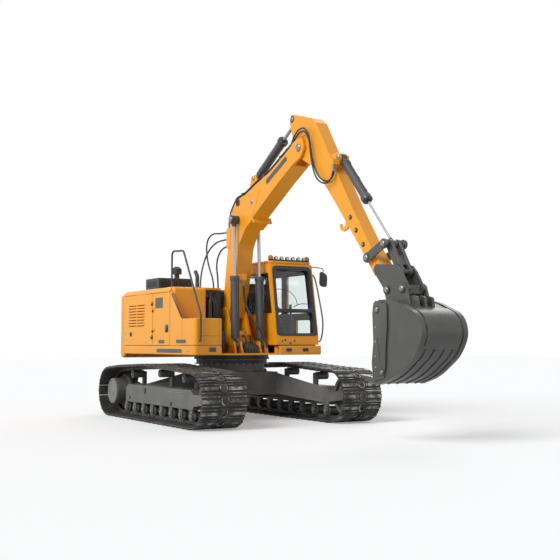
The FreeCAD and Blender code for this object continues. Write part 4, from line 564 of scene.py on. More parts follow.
def track_joints():
    """The chain's joints, one shoe apart along the closed line."""
    corners = track_corners()
    runs = list(zip(corners, corners[1:] + corners[:1]))
    pitch = sum(math.dist(a, b) for a, b in runs) / SHOE_COUNT
    joints = []
    for index in range(SHOE_COUNT):
        distance = pitch * index
        for begin, end in runs:
            run = math.dist(begin, end)
            if distance <= run:
                joints.append(Vector(begin).lerp(Vector(end), distance / run))
                break
            distance -= run
    return joints, pitch


chain_steel = finish("chain_steel", (0.048, 0.047, 0.045), 0.58, bare=(0.16, 0.16, 0.16), mottle=0.2, dusting=0.3,
                     grain_scale=120.0, bump=0.002, metallic=0.3)
cap_grey = finish("cap_grey", (0.17, 0.17, 0.166), 0.40, mottle=0.1, wear=0.5, dusting=0.15, bump=0.001)

joints, shoe_pitch = track_joints()
shoe = bmesh.new()
half_shoe = SHOE_WIDTH / 2 - 0.004
add_plate(shoe, corners_of((0.0, 0.0), (shoe_pitch * 0.97, SHOE_PLATE)), -half_shoe, half_shoe)
CHAIN_BOSS = 0.088
for share, foot, crest, height in ((0.11, 0.014, 0.006, 0.75), (0.48, 0.042, 0.028, 1.0), (0.86, 0.014, 0.006, 0.75)):
    middle = shoe_pitch * share
    bar = [
        (middle - foot, SHOE_PLATE - 0.002),
        (middle + foot, SHOE_PLATE - 0.002),
        (middle + crest, SHOE_PLATE + GROUSER * height),
        (middle - crest, SHOE_PLATE + GROUSER * height),
    ]
    add_plate(shoe, bar, -half_shoe, -CHAIN_BOSS)
    add_plate(shoe, bar, CHAIN_BOSS, half_shoe)
BOSS_STEPS = 7
for step in range(BOSS_STEPS):
    corners = []
    for turn, radius in ((step, 0.076), (step + 1, 0.076), (step + 1, 0.050), (step, 0.050)):
        angle = math.radians(45 + 270 * turn / BOSS_STEPS)
        corners.append((shoe_pitch * 0.5 + radius * math.cos(angle), radius * math.sin(angle)))
    add_plate(shoe, corners, SHOE_PLATE - 0.001, SHOE_PLATE + GROUSER * 0.92, "XY")
for x in (shoe_pitch * 0.40, shoe_pitch * 0.56):
    for y in (-0.12, 0.12):
        add_turned(shoe, (x, y, SHOE_PLATE + GROUSER * 0.6), (0, 0, 1), [(0, 0.015), (GROUSER * 0.4, 0.015)], 6)

# The grouser, boss and stud tops take the lighter bare colour: partly wear, partly painted highlight along the
# grousers.
wear_and_highlight_layer = shoe.faces.layers.float.new("rim")
for face in shoe.faces:
    if min(vertex.co.z for vertex in face.verts) > SHOE_PLATE + GROUSER * 0.7:
        face[wear_and_highlight_layer] = 1.0

link = bmesh.new()
for y in (-LINK_WIDTH / 2 + 0.014, LINK_WIDTH / 2 - 0.014):
    add_plate(
        link,
        [(-0.02, -0.012), (shoe_pitch * 0.5, -0.001), (shoe_pitch + 0.02, -0.012), (shoe_pitch + 0.028, -0.040),
         (shoe_pitch * 0.82, -0.060), (shoe_pitch * 0.18, -0.060), (-0.028, -0.040)],
        y - 0.013, y + 0.013,
    )
add_turned(link, (0, -LINK_WIDTH / 2, -0.033), (0, 1, 0), [(0, 0.022), (LINK_WIDTH, 0.022)], 10)

for side, centre in (("right", -TRACK_CENTRE), ("left", TRACK_CENTRE)):
    spots = []
    for begin, end in zip(joints, joints[1:] + joints[:1]):
        along = (end - begin).normalized()
        turn = Matrix(((along.x, 0, along.y), (0, -1, 0), (along.y, 0, -along.x)))
        spots.append(((begin.x, centre, begin.y), turn, 1.0))
    repeated(f"track_shoes_{side}", shoe, spots, "undercarriage", shoe_steel, [f"track_{side}"])
    repeated(f"track_chain_{side}", link, spots, "undercarriage", chain_steel)


# ---------------------------------------------------------------- rollers and wheels
# Cast rollers run on greased axles held by bolted caps, the idler's axle ends in a plain
# cap, and the final drive fills the sprocket behind a bolted cover.

fixings = bpy.data.node_groups.new("bolt_heads", "GeometryNodeTree")
add_sockets(fixings, "INPUT", "Geometry", "Geometry")
add_sockets(fixings, "INPUT", "Float", "Head Radius", "Head Height", "Washer Radius", "Washer Height")
add_sockets(fixings, "INPUT", "Material", "Finish")
add_sockets(fixings, "OUTPUT", "Geometry", "Geometry")
f_in = add_node(fixings, "NodeGroupInput")
f_join = add_node(fixings, "GeometryNodeJoinGeometry")
for label, sides in (("Head", 6), ("Washer", 14)):
    disc = add_node(fixings, "GeometryNodeMeshCylinder", {"Vertices": sides})
    lift = add_node(fixings, "GeometryNodeTransform")
    rise = add_node(fixings, "ShaderNodeMath", {1: 0.5}, operation="MULTIPLY")
    offset = add_node(fixings, "ShaderNodeCombineXYZ")
    wire(
        fixings,
        (f_in, f"{label} Radius", disc, "Radius"),
        (f_in, f"{label} Height", disc, "Depth"),
        (f_in, f"{label} Height", rise, 0),
        (rise, 0, offset, "Z"),
        (disc, "Mesh", lift, "Geometry"),
        (offset, 0, lift, "Translation"),
        (lift, "Geometry", f_join, "Geometry"),
    )
set_on_points(fixings, f_in, f_join)


def facing(axis):
    """The turn that stands a part's Z along an axis."""
    return Vector(axis).to_track_quat("Z", "Y").to_matrix()


def bolts(name, body, spots, radius):
    """Hexagon heads on washers, from (place, axis) pairs, as one plain mesh."""
    piece = point_cloud(name, [(place, facing(axis), 1.0) for place, axis in spots])
    fix = piece.modifiers.new("fix", "NODES")
    fix.node_group = fixings
    for socket, value in (
        ("Head Radius", radius),
        ("Head Height", radius * 0.85),
        ("Washer Radius", radius * 1.45),
        ("Washer Height", radius * 0.25),
        ("Finish", bolt_zinc),
    ):
        fix[socket_id(fixings, socket)] = value
    baked(piece)
    smoothed(piece.data)
    return riding(piece, body)


def circle(centre, axis, radius, count):
    """Places evenly round an axis, each with that axis."""
    direction, across, other = basis(axis)
    turns = [2 * math.pi * (index + 0.5) / count for index in range(count)]
    return [
        (Vector(centre) + (across * math.cos(turn) + other * math.sin(turn)) * radius, direction) for turn in turns
    ]


def on_side(side, face, points):
    """Bolt places on a face of one side of the machine, from (x, z) pairs."""
    return [((x, side * face, z), (0, side, 0)) for x, z in points]


def add_boss(shell, pin, side, face, profile, sides, ring=False):
    """A turned part standing off a face of one side, about a pin's (x, z)."""
    add_turned(shell, (pin[0], side * face, pin[1]), (0, side, 0), profile, sides, ring)


ROLLER_PITCH = 0.40
ROLLER_HEIGHT = 0.180
CARRIERS = ((1.0, 0.788), (0.0, 0.843), (-1.25, 0.798))
WHEEL_X = (TRACK_LENGTH - TRACK_HEIGHT) / 2
cap = bmesh.new()
add_turned(
    cap, (0, 0, 0), (0, 0, 1),
    [(0, 0.068), (0.005, 0.068), (0.005, 0.058), (0.002, 0.056), (0.002, 0.036), (0.014, 0.034), (0.018, 0.028),
     (0.018, 0)],
    18,
)
# A flat near-black ring in the recess of each cap is painted shade for the hollow there.
hollow = bmesh.new()
add_turned(hollow, (0, 0, 0), (0, 0, 1), [(0, 0.0575), (0.0035, 0.0575), (0.0035, 0.035), (0, 0.035)], 18, ring=True)
cap_spots = []
cap_bolts = []
for side in (-1, 1):
    for index in range(8):
        x = -3.5 * ROLLER_PITCH - 0.05 + ROLLER_PITCH * index
        for face, way in ((0.150, 1), (-0.150, -1)):
            y = side * (TRACK_CENTRE + face)
            cap_spots.append(((x, y, ROLLER_HEIGHT), facing((0, side * way, 0)), 1.0))
            cap_bolts += circle((x, y + side * way * 0.003, ROLLER_HEIGHT), (0, side * way, 0), 0.046, 4)
    for x, z in CARRIERS:
        cap_spots.append(((x, side * (TRACK_CENTRE + 0.110), z), facing((0, side, 0)), 0.95))
# This near-black finish is used on the slew races, deck skirt and bosses, and is also painted shade in the roller
# caps' recesses, on the frame wedges and in the cutter slots.
race_black = finish("race_black", (0.022, 0.022, 0.022), 0.45, mottle=0.1, dusting=0.10, bump=0.0008)
repeated("roller_caps", cap, cap_spots, "undercarriage", cap_grey)
repeated("roller_hollows", hollow, cap_spots, "undercarriage", race_black)
bolts("roller_cap_bolts", "undercarriage", cap_bolts, 0.007)

drives = bmesh.new()
drive_bolts = []
SPROCKET = (-WHEEL_X, TRACK_HEIGHT / 2)
IDLER = (WHEEL_X, TRACK_HEIGHT / 2)
for side in (-1, 1):
    add_boss(
        drives, SPROCKET, side, TRACK_CENTRE + 0.278,
        [(-0.024, 0.238), (0.004, 0.238), (0.010, 0.230), (0.010, 0.198), (0.003, 0.192), (0.005, 0.080),
         (0.014, 0.070), (0.016, 0)],
        48,
    )
    cover = side * (TRACK_CENTRE + 0.278) + side * 0.0095
    drive_bolts += circle((-WHEEL_X, cover, TRACK_HEIGHT / 2), (0, side, 0), 0.214, 16)
    add_boss(drives, IDLER, side, TRACK_CENTRE + 0.120, [(0, 0.085), (0.012, 0.085), (0.018, 0.070), (0.018, 0)], 32)
finished("drive_covers", drives, "undercarriage", cap_grey)
bolts("drive_cover_bolts", "undercarriage", drive_bolts, 0.010)


# ---------------------------------------------------------------- track frames and car body
# Welded plate frames carry the rollers and the slewing ring; every plate edge is ground
# round. The ring's stepped races are bolted down, under a rolled skirt below the deck.

HARD_EDGE = 28.0


def rounded_shell(node, radius, steps=2):
    """A copy of a shell with rounded edges, standing for it."""
    shell = bmesh.new()
    shell.from_mesh(nodes[node].data)
    bmesh.ops.remove_doubles(shell, verts=shell.verts, dist=0.0003)
    bmesh.ops.dissolve_limit(shell, angle_limit=math.radians(1.0), verts=shell.verts, edges=shell.edges)
    edges = [
        edge for edge in shell.edges
        if len(edge.link_faces) == 2 and edge.calc_face_angle(0.0) > math.radians(HARD_EDGE)
    ]
    wear_and_highlight_layer = shell.faces.layers.float.new("rim")
    rounded = bmesh.ops.bevel(
        shell, geom=edges, offset=radius, segments=steps, profile=0.5, affect="EDGES", clamp_overlap=True
    )
    for face in rounded["faces"]:
        face[wear_and_highlight_layer] = 1.0
    mesh = bpy.data.meshes.new(f"{node}_shell")
    shell.to_mesh(mesh)
    shell.free()
    smoothed(mesh)
    mesh.materials.append(FINISH_OF_SLOT[slot_of[node]])
    piece = placed(f"{node}_shell", mesh)
    even = piece.modifiers.new("even_shading", "WEIGHTED_NORMAL")
    even.keep_sharp = True
    baked(piece)
    return riding(piece, body_of[node], [node])


for node, radius in (("car_frame", 0.02), ("track_frame_right", 0.02), ("track_frame_left", 0.02)):
    rounded_shell(node, radius)

ring = bmesh.new()
add_turned(
    ring, (0, 0, 0.998), (0, 0, 1),
    [(0, 0.655), (0.026, 0.655), (0.030, 0.649), (0.030, 0.645), (0.044, 0.645), (0.048, 0.652),
     (0.082, 0.652), (0.082, 0.60), (0, 0.60)],
    72, ring=True,
)
finished("slew_races", ring, "undercarriage", race_black)
bolts("slew_ring_bolts", "undercarriage", circle((0, 0, 1.002), (0, 0, 1), 0.672, 36), 0.011)
deck_skirt = bmesh.new()
add_turned(
    deck_skirt, (0, 0, 1.088), (0, 0, 1),
    [(0, 0.640), (0, 0.684), (0.010, 0.692), (0.030, 0.692), (0.034, 0.680), (0.080, 0.680), (0.080, 0.640)],
    72, ring=True,
)
finished("deck_skirt", deck_skirt, "house", race_black)
# Small wedge plates on each frame side: the plates are real, but their near-black colour is painted shade.
shaded_lugs = bmesh.new()
frame_bolts = []
for side in (-1, 1):
    for x, z, half in ((-0.50, 0.515, 0.055), (-1.21, 0.363, 0.030), (0.63, 0.344, 0.035)):
        wedge = [(x + a * half, z + b * half) for a, b in ((-1, 1), (-0.2, -1), (0.5, -0.6), (1, 1))]
        add_plate(shaded_lugs, wedge, side * 1.499, side * 1.512)
    frame_bolts += on_side(side, 1.502, [(x + step, 0.545) for x in (-1.25, -0.85, 0.55, 0.95) for step in (0, 0.09)])
finished("frame_lugs", shaded_lugs, "undercarriage", race_black, bevel=0.003)
bolts("frame_bolts", "undercarriage", frame_bolts, 0.012)


# ---------------------------------------------------------------- upper body panels
# Pressed steel panels and a cast counterweight close the engine bay; the panels have
# folded edges, and bare plates are riveted where instructions would go.

for node, radius, steps in (
    ("lower_bands", 0.016, 3),
    ("counterweight", 0.06, 4),
    ("roof_panel", 0.03, 3),
    ("fuel_tank", 0.03, 3),
    ("step_box", 0.025, 3),
    ("pump_door", 0.004, 1),
    ("filter_door", 0.004, 1),
    ("radiator_door", 0.004, 1),
):
    rounded_shell(node, radius, steps)


def rounded_outline(corners, radius, steps=5):
    """A closed outline whose corners are turned into short curves, of one size or each its own."""
    radii = radius if hasattr(radius, "__len__") else [radius] * len(corners)
    outline = []
    for index, corner in enumerate(corners):
        here = Vector(corner)
        before = Vector(corners[index - 1]) - here
        after = Vector(corners[(index + 1) % len(corners)]) - here
        reach = min(radii[index], before.length * 0.45, after.length * 0.45)
        start = here + before.normalized() * reach
        end = here + after.normalized() * reach
        for step in range(steps + 1):
            share = step / steps
            outline.append(tuple(
                start * (1 - share) ** 2 + here * (2 * share * (1 - share)) + end * share ** 2
            ))
    return outline


def rectangle(low, high, radius=0.01, steps=3):
    return rounded_outline(corners_of(low, high), radius, steps)


SIDE = 1.29
BAND_FRONT = 1.079
plate_grey = finish("plate_grey", (0.07, 0.072, 0.075), 0.4, mottle=0.08, dusting=0.1, bump=0.0004)
door_plates = bmesh.new()
for low, high in (((-0.549, 2.01), (-0.216, 2.20)), ((-0.39, 1.372), (-0.145, 1.432))):
    add_plate(door_plates, rectangle(low, high), -SIDE - 0.003, -SIDE + 0.001)
finished("door_plates", door_plates, "filter_door_leaf", plate_grey)
bolts(
    "door_plate_rivets", "filter_door_leaf",
    on_side(-1, SIDE + 0.002, [(x, z) for x in (-0.539, -0.226) for z in (2.02, 2.19)]), 0.004,
)

band_plates = bmesh.new()
for low, high in (((-0.476, 1.207), (0.593, 1.275)), ((0.364, 1.375), (0.757, 1.437))):
    add_plate(band_plates, rectangle(low, high), -SIDE - 0.002, -SIDE + 0.001)
add_plate(band_plates, rectangle((-1.007, 1.228), (-0.88, 1.305)), BAND_FRONT, 1.0825, "YZ")
finished("house_plates", band_plates, "house", plate_grey)

strips = bmesh.new()
add_plate(
    strips, [(0.190, 2.280), (0.612, 1.800), (0.624, 1.808), (0.202, 2.288)], -SIDE - 0.0015, -SIDE + 0.001
)
for low, high in (((-1.165, 1.498), (-0.82, 1.503)), ((-0.8225, 1.345), (-0.8175, 1.80))):
    add_plate(strips, corners_of(low, high), BAND_FRONT, 1.0806, "YZ")
finished("panel_seams", strips, "house", trim_black)


# ---------------------------------------------------------------- side doors
# The pump and radiator doors have a black mesh pad behind their slots and pressed lips
# over them; the pump and filter doors close with a folding latch on a flat plate.

grille_black = finish("grille_black", (0.012, 0.012, 0.013), 0.8, mottle=0.2, wear=0.0, dusting=0.2,
                      grain_scale=600.0, bump=0.002)
GRILLE_FOOT = 1.69
GRILLE_PITCH = 0.055
GRILLE_ROWS = 8
lip = bmesh.new()
add_plate(lip, [(0.0, 0.0), (-0.012, 0.006), (-0.013, 0.009), (0.0, 0.016)], -0.5, 0.5, "YZ")
for name, side, columns in (
    ("pump", -1, ((-1.83, -1.465), (-1.43, -1.06))),
    ("radiator", 1, ((-1.93, -1.61), (-1.57, -1.25), (-1.17, -0.92))),
):
    leaf = f"{name}_door_leaf"
    back = bmesh.new()
    ends = [x for column in columns for x in column]
    grille_top = GRILLE_FOOT + GRILLE_PITCH * GRILLE_ROWS
    pad = corners_of((min(ends) - 0.02, GRILLE_FOOT - 0.03), (max(ends) + 0.02, grille_top))
    add_plate(back, pad, side * 1.2475, side * 1.2495)
    finished(f"{name}_grille_pad", back, leaf, grille_black)
    turn = Matrix.Rotation(0.0 if side < 0 else math.pi, 3, "Z")
    spots = [
        (((low + high) / 2, side * (SIDE - 0.001), GRILLE_FOOT + GRILLE_PITCH * row + 0.012), turn, (high - low, 1, 1))
        for low, high in columns
        for row in range(GRILLE_ROWS)
    ]
    repeated(f"{name}_louvre_lips", lip, spots, leaf, machine_yellow)

latch_black = finish("latch_black", (0.03, 0.03, 0.032), 0.35, mottle=0.08, dusting=0.1, bump=0.0005)
for leaf, x, z, half_width, half_height in (
    ("pump_door_leaf", -1.72, 1.547, 0.05, 0.045),
    ("filter_door_leaf", -0.042, 1.637, 0.07, 0.07),
):
    latch = bmesh.new()
    add_plate(
        latch, rectangle((x - half_width, z - half_height), (x + half_width, z + half_height), 0.02),
        -SIDE - 0.004, -SIDE + 0.001,
    )
    add_plate(
        latch,
        rectangle((x - half_width * 0.7, z - half_height * 0.45), (x + half_width * 0.7, z + half_height * 0.55)),
        -SIDE - 0.013, -SIDE - 0.004,
    )
    add_boss(
        latch, (x, z - half_height * 0.72), -1, SIDE + 0.003,
        [(0, 0.010), (0.006, 0.010), (0.006, 0.006), (0.003, 0.005), (0.003, 0)], 16,
    )
    finished(f"{leaf}_latch", latch, leaf, latch_black, bevel=0.0015)
bolts("panel_bolts", "house", on_side(-1, SIDE + 0.0005, ((0.45, 1.24), (0.85, 1.24))), 0.009)
bolts(
    "pump_door_bolts", "pump_door_leaf",
    on_side(-1, SIDE + 0.0005, ((-1.978, 1.565), (-1.931, 1.435), (-1.591, 1.435), (-0.98, 1.387))), 0.009,
)


# ---------------------------------------------------------------- engine hood, air cleaner and exhaust
# The hood is a black sheet box on the roof, ribbed for stiffness, with a vaned bowl that
# spins dust out of the intake air. A steel stack carries off the exhaust, and raised
# dots give the roof panel grip.

rounded_shell("engine_hood", 0.015, 2)
ribs = bmesh.new()
for index in range(7):
    x = -1.70 + 0.0775 * index
    for y in (-0.9425, -0.2815):
        add_block(ribs, (x - 0.008, y, 2.43), (x + 0.008, y + 0.004, 2.57))
add_turned(
    ribs, (-1.205, -0.939, 2.50), (0, -1, 0),
    [(0, 0.022), (0.004, 0.022), (0.006, 0.018), (0.003, 0.016), (0.003, 0)], 20,
)
finished("hood_ribs", ribs, "hood_lid", trim_black, bevel=0.0012)

vane = bmesh.new()
add_plate(vane, corners_of((0.0, -0.030), (0.004, 0.030)), -0.003, 0.003)
vane_spots = []
for turn in (2 * math.pi * index / 24 for index in range(24)):
    place = (-1.30 + 0.0905 * math.cos(turn), -0.52 + 0.0905 * math.sin(turn), 2.755)
    vane_spots.append((place, Matrix.Rotation(turn, 3, "Z"), 1.0))
repeated("air_cleaner_vanes", vane, vane_spots, "hood_lid", moulded_black)

STACK = (-0.25, -0.59)
stack = bmesh.new()
for height, radius in ((2.385, 0.060), (2.47, 0.040)):
    add_turned(
        stack, (*STACK, height), (0, 0, 1),
        [(0, 0.030), (0, radius), (0.018, radius), (0.020, radius - 0.003), (0.020, 0.030)], 28,
        ring=True,
    )
finished("stack_clamps", stack, "house", iron_grey)

tread = bmesh.new()
add_turned(tread, (0, 0, 0), (0, 0, 1), [(0, 0.014), (0.003, 0.012), (0.0035, 0)], 8)
tread_spots = []
for row in range(9):
    for column in range(14):
        x = -1.02 + 0.075 * column + (0.0375 if row % 2 else 0)
        y = -0.36 - 0.10 * row
        by_stack = abs(y - STACK[1]) < 0.11 and abs(x - STACK[0]) < 0.13
        if x < -0.02 and not by_stack:
            tread_spots.append(((x, y, 2.3795), Matrix.Identity(3), 1.0))
repeated("roof_treads", tread, tread_spots, "house", machine_yellow)

RAIL_FOOT = Vector((-0.065, -1.185, 2.379))
foot = bmesh.new()
add_turned(foot, RAIL_FOOT, (0, 0, 1), [(0, 0.045), (0.010, 0.045), (0.012, 0.030), (0.016, 0.028)], 20)
finished("rail_feet", foot, "house", rail_black)
bolts("rail_feet_bolts", "house", circle(RAIL_FOOT + Vector((0, 0, 0.009)), (0, 0, 1), 0.034, 4), 0.006)


# ---------------------------------------------------------------- hydraulics and slew motor
# Spool caps and hose unions cover the valve bank beside the boom, the pilot filters stand
# above it, and a seal closes the step's edge. The slew motor is a flanged drum bolted
# down over its gearbox; the swivel block ahead of it joins the hydraulic lines.

fittings = bmesh.new()
valve_bolts = []
for column in range(6):
    x = 0.185 + 0.06 * column
    for z in (1.30, 1.40, 1.50):
        add_turned(
            fittings, (x, -0.609, z), (0, -1, 0),
            [(0, 0.022), (0.012, 0.022), (0.012, 0.017), (0.035, 0.017), (0.038, 0.013), (0.050, 0.013), (0.050, 0)],
            12,
        )
    add_turned(
        fittings, (x, -0.50, 1.579), (0, 0, 1),
        [(0, 0.019), (0.02, 0.019), (0.02, 0.014), (0.045, 0.014), (0.045, 0)], 6,
    )
    valve_bolts += [((x, -0.44, 1.580), (0, 0, 1)), ((x, -0.57, 1.580), (0, 0, 1))]
for z in (1.32, 1.44):
    for y in (-0.46, -0.54):
        add_turned(
            fittings, (0.519, y, z), (1, 0, 0),
            [(0, 0.024), (0.016, 0.024), (0.016, 0.018), (0.04, 0.018), (0.045, 0.012), (0.045, 0)], 12,
        )
finished("valve_fittings", fittings, "house", barrel_grey)
bolts("valve_bolts", "house", valve_bolts, 0.008)

DRUM = Vector((0.4, 0, 0))
motor = bmesh.new()
for height, outer in ((1.24, 0.1475), (1.30, 0.1445), (1.47, 0.1435)):
    add_turned(
        motor, DRUM + Vector((0, 0, height)), (0, 0, 1),
        [(0, 0.13), (0, outer - 0.002), (0.003, outer), (0.014, outer), (0.017, outer - 0.002), (0.017, 0.13)], 48,
        ring=True,
    )
finished("slew_motor_bands", motor, "house", machine_yellow)
motor_bolts = []
for height, radius, count in ((1.426, 0.1455, 14), (1.540, 0.11, 8), (1.590, 0.055, 6)):
    motor_bolts += circle(DRUM + Vector((0, 0, height)), (0, 0, 1), radius, count)
bolts("slew_motor_bolts", "house", motor_bolts, 0.008)


def add_tube(shell, points, radius, sides=10):
    """A round tube bent through its points."""
    path = [Vector(point) for point in points]
    up = (path[1] - path[0]).orthogonal().normalized()
    rings = []
    for index, place in enumerate(path):
        way = (path[min(index + 1, len(path) - 1)] - path[max(index - 1, 0)]).normalized()
        up = (up - way * up.dot(way)).normalized()
        other = way.cross(up)
        rings.append([
            shell.verts.new(place + (up * math.cos(turn) + other * math.sin(turn)) * radius)
            for turn in (2 * math.pi * step / sides for step in range(sides))
        ])
    add_bands(shell, rings)
    for end in (rings[0], rings[-1]):
        shell.faces.new(end)


def arc_through(points, steps=8):
    """A smooth bend through points in turn."""
    path = [Vector(point) for point in points]
    padded = [path[0] * 2 - path[1]] + path + [path[-1] * 2 - path[-2]]
    bend = []
    for a, b, c, d in zip(padded, padded[1:], padded[2:], padded[3:]):
        for step in range(steps):
            t = step / steps
            bend.append(
                0.5 * (2 * b + (c - a) * t + (2 * a - 5 * b + 4 * c - d) * t ** 2 + (3 * b - a - 3 * c + d) * t ** 3)
            )
    bend.append(path[-1])
    return bend


pilot, unions, leads = bmesh.new(), bmesh.new(), bmesh.new()
for height in (1.90, 2.06):
    add_plate(pilot, rectangle((0.091, -0.585), (0.118, -0.345), 0.006), height, height + 0.035, "XY")
for y, foot, tall in ((-0.535, 1.80, 0.34), (-0.425, 1.86, 0.25)):
    add_turned(
        pilot, (0.160, y, foot), (0, 0, 1),
        [(0, 0), (0, 0.028), (0.020, 0.044), (tall - 0.05, 0.046), (tall - 0.048, 0.050), (tall - 0.020, 0.050),
         (tall - 0.018, 0.034), (tall, 0.030), (tall, 0)], 20,
    )
    add_turned(
        unions, (0.160, y, foot + tall - 0.002), (0, 0, 1),
        [(0, 0.021), (0.022, 0.021), (0.022, 0.016), (0.040, 0.016), (0.040, 0)], 6,
    )
    top = foot + tall + 0.03
    bend = [(0.160, y, top), (0.160, y, top + 0.07), (0.130, y + 0.05, 2.28), (0.115, y + 0.11, 2.30)]
    add_tube(leads, arc_through(bend, 5), 0.014, 8)
for step in range(3):
    y, high = -0.565 + 0.055 * step, 2.23 - 0.035 * step
    add_turned(unions, (0.092, y, high), (1, 0, 0), [(0, 0.020), (0.024, 0.020), (0.024, 0.014), (0.040, 0.014)], 6)
    bend = [(0.130, y, high), (0.205, y, high - 0.005), (0.235, y + 0.02, high - 0.10), (0.230, y + 0.03, 1.60)]
    add_tube(leads, arc_through(bend, 6), 0.012, 8)
finished("pilot_filters", pilot, "house", barrel_grey, bevel=0.002)
finished("pilot_unions", unions, "house", bolt_zinc)
finished("pilot_leads", leads, "house", hose_black)

seal = bmesh.new()
add_plate(seal, [(0.181, 2.258), (0.588, 1.834), (0.571, 1.817), (0.164, 2.241)], -1.298, -1.288, "XZ")
finished("step_seal", seal, "house", moulded_black, bevel=0.001)

swivel = bmesh.new()
add_plate(swivel, rectangle((0.610, -0.125), (0.770, 0.125), 0.03), 1.198, 1.345, "XY")
add_plate(swivel, rectangle((0.630, -0.100), (0.750, 0.100), 0.03), 1.345, 1.372, "XY")
for y in (-0.075, -0.025, 0.025, 0.075):
    add_turned(
        swivel, (0.768, y, 1.275), (1, 0, 0),
        [(0, 0.019), (0.018, 0.019), (0.018, 0.014), (0.030, 0.014), (0.034, 0.010), (0.034, 0)], 12,
    )
    bend = [(0.795, y, 1.275), (0.830, y, 1.272), (0.850, y * 1.15, 1.245), (0.856, y * 1.2, 1.20)]
    add_tube(swivel, arc_through(bend, 4), 0.010, 8)
for y in (-0.06, 0.06):
    bend = [(0.66, y, 1.36), (0.66, y, 1.44), (0.62, y * 1.2, 1.50), (0.545, y * 1.4, 1.50)]
    add_tube(swivel, arc_through(bend, 4), 0.013, 8)
    add_turned(swivel, (0.66, y, 1.370), (0, 0, 1), [(0, 0.020), (0.020, 0.020), (0.020, 0.014)], 6)
finished("swivel_block", swivel, "house", trim_black, bevel=0.003)
bolts("swivel_bolts", "house", [((x, y, 1.345), (0, 0, 1)) for x in (0.622, 0.758) for y in (-0.11, 0.11)], 0.007)

motor_pipes = bmesh.new()
for turn in (-0.55, 0.35):
    out = Vector((math.cos(turn), math.sin(turn), 0))
    start = DRUM + Vector((0, 0, 1.36)) + out * 0.135
    steps = ((0, 0), (0.05, 0), (0.072, -0.05), (0.06, -0.155))
    bend = [start + out * away + Vector((0, 0, down)) for away, down in steps]
    add_tube(motor_pipes, arc_through(bend), 0.014)
    add_turned(motor_pipes, start, out, [(0, 0.022), (0.022, 0.022), (0.022, 0.016)], 6)
finished("slew_motor_pipes", motor_pipes, "house", barrel_grey)


# ---------------------------------------------------------------- cab
# A welded steel safety cab stands on rubber mounts. Black rubber holds each pane, the
# raked front screen has a wide printed border, and the walls are lined in dark plastic.

for node, radius, steps in (("cab_shell", 0.022, 3), ("cab_roof", 0.024, 3), ("cab_door", 0.010, 2)):
    rounded_shell(node, radius, steps)

CAB_RIGHT = 0.39
CAB_LEFT = 1.29
CAB_REAR = -0.80
CAB_FRONT = 0.95
CAB_TOP = 2.82
SILL = 1.50
RAKE = 0.23 / (CAB_TOP - SILL)
rubber_black = finish("rubber_black", (0.026, 0.027, 0.030), 0.45, mottle=0.06, wear=0.0, dusting=0.05,
                      bump=0.0004)
lining_grey = finish("lining_grey", (0.045, 0.046, 0.050), 0.65, mottle=0.08, wear=0.0, dusting=0.03,
                     grain_scale=420.0, bump=0.0009)


def on_screen(y, z, depth):
    return (CAB_FRONT - RAKE * (z - SILL) + depth, y, z + depth * RAKE)


def on_right(x, z, depth):
    return (x, CAB_RIGHT - depth, z)


def on_left(x, z, depth):
    return (x, CAB_LEFT + depth, z)


def on_rear(y, z, depth):
    return (CAB_REAR - depth, y, z)


def add_ring(shell, outer, inner, place, low, high):
    """A flat ring between two outlines with as many points each, on a wall."""
    loops = [
        [shell.verts.new(place(a, b, depth)) for a, b in outline]
        for outline, depth in ((outer, low), (outer, high), (inner, high), (inner, low))
    ]
    add_bands(shell, loops, closed=True)


def moved_out(corners, grow):
    """Corners moved away from their middle by a margin."""
    middle = sum((Vector(corner) for corner in corners), Vector((0, 0))) / len(corners)
    return [
        (corner[0] + math.copysign(grow, corner[0] - middle.x), corner[1] + math.copysign(grow, corner[1] - middle.y))
        for corner in corners
    ]


SPLIT = 1.965
screen = bmesh.new()
for border, radii, pane, pane_radius in (
    ([(0.412, 1.508), (1.268, 1.508), (1.262, SPLIT), (0.418, SPLIT)], (0.07, 0.07, 0.001, 0.001),
     corners_of((0.476, 1.555), (1.204, 1.935)), 0.05),
    ([(0.418, SPLIT), (1.262, SPLIT), (1.250, 2.782), (0.430, 2.782)], (0.001, 0.001, 0.09, 0.09),
     [(0.476, 1.995), (1.204, 1.995), (1.196, 2.715), (0.484, 2.715)], 0.07),
):
    add_ring(screen, rounded_outline(border, radii), rounded_outline(pane, pane_radius), on_screen, -0.052, 0.012)
finished("screen_border", screen, "house", rubber_black, bevel=0.003)

split_bar = bmesh.new()
add_tube(split_bar, [on_screen(y, SPLIT, 0.010) for y in (0.42, 1.26)], 0.009, 8)
finished("screen_split", split_bar, "house", rubber_black)

def add_seal(shell, corners, grow, place):
    """The rubber round a pane, a little wider than its opening."""
    outer, inner = moved_out(corners, grow), moved_out(corners, -0.014)
    add_ring(shell, rounded_outline(outer, 0.05), rounded_outline(inner, 0.045), place, -0.0525, 0.004)


def add_lining(shell, outer, inner, place):
    """A trim panel inside a wall, with the window's opening in it."""
    add_ring(shell, rounded_outline(outer, 0.001), rounded_outline(inner, 0.04), place, -0.056, -0.050)


seals = bmesh.new()
for corners, place in (
    ([(0.28, 1.92), (0.79, 1.92), (0.65, 2.65), (0.28, 2.65)], on_right),
    (corners_of((-0.68, 1.92), (0.20, 2.65)), on_right),
    (corners_of((-0.68, 1.92), (-0.26, 2.65)), on_left),
    (corners_of((0.51, 1.92), (1.17, 2.65)), on_rear),
):
    add_seal(seals, corners, 0.016, place)
finished("window_seals", seals, "house", rubber_black, bevel=0.002)

door_seals = bmesh.new()
add_seal(door_seals, [(-0.09, 1.92), (0.71, 1.92), (0.58, 2.65), (-0.09, 2.65)], 0.014, on_left)
add_seal(door_seals, corners_of((0.25, 1.495), (0.76, 1.81)), 0.014, on_left)
finished("door_seals", door_seals, "cab_door_leaf", rubber_black, bevel=0.002)

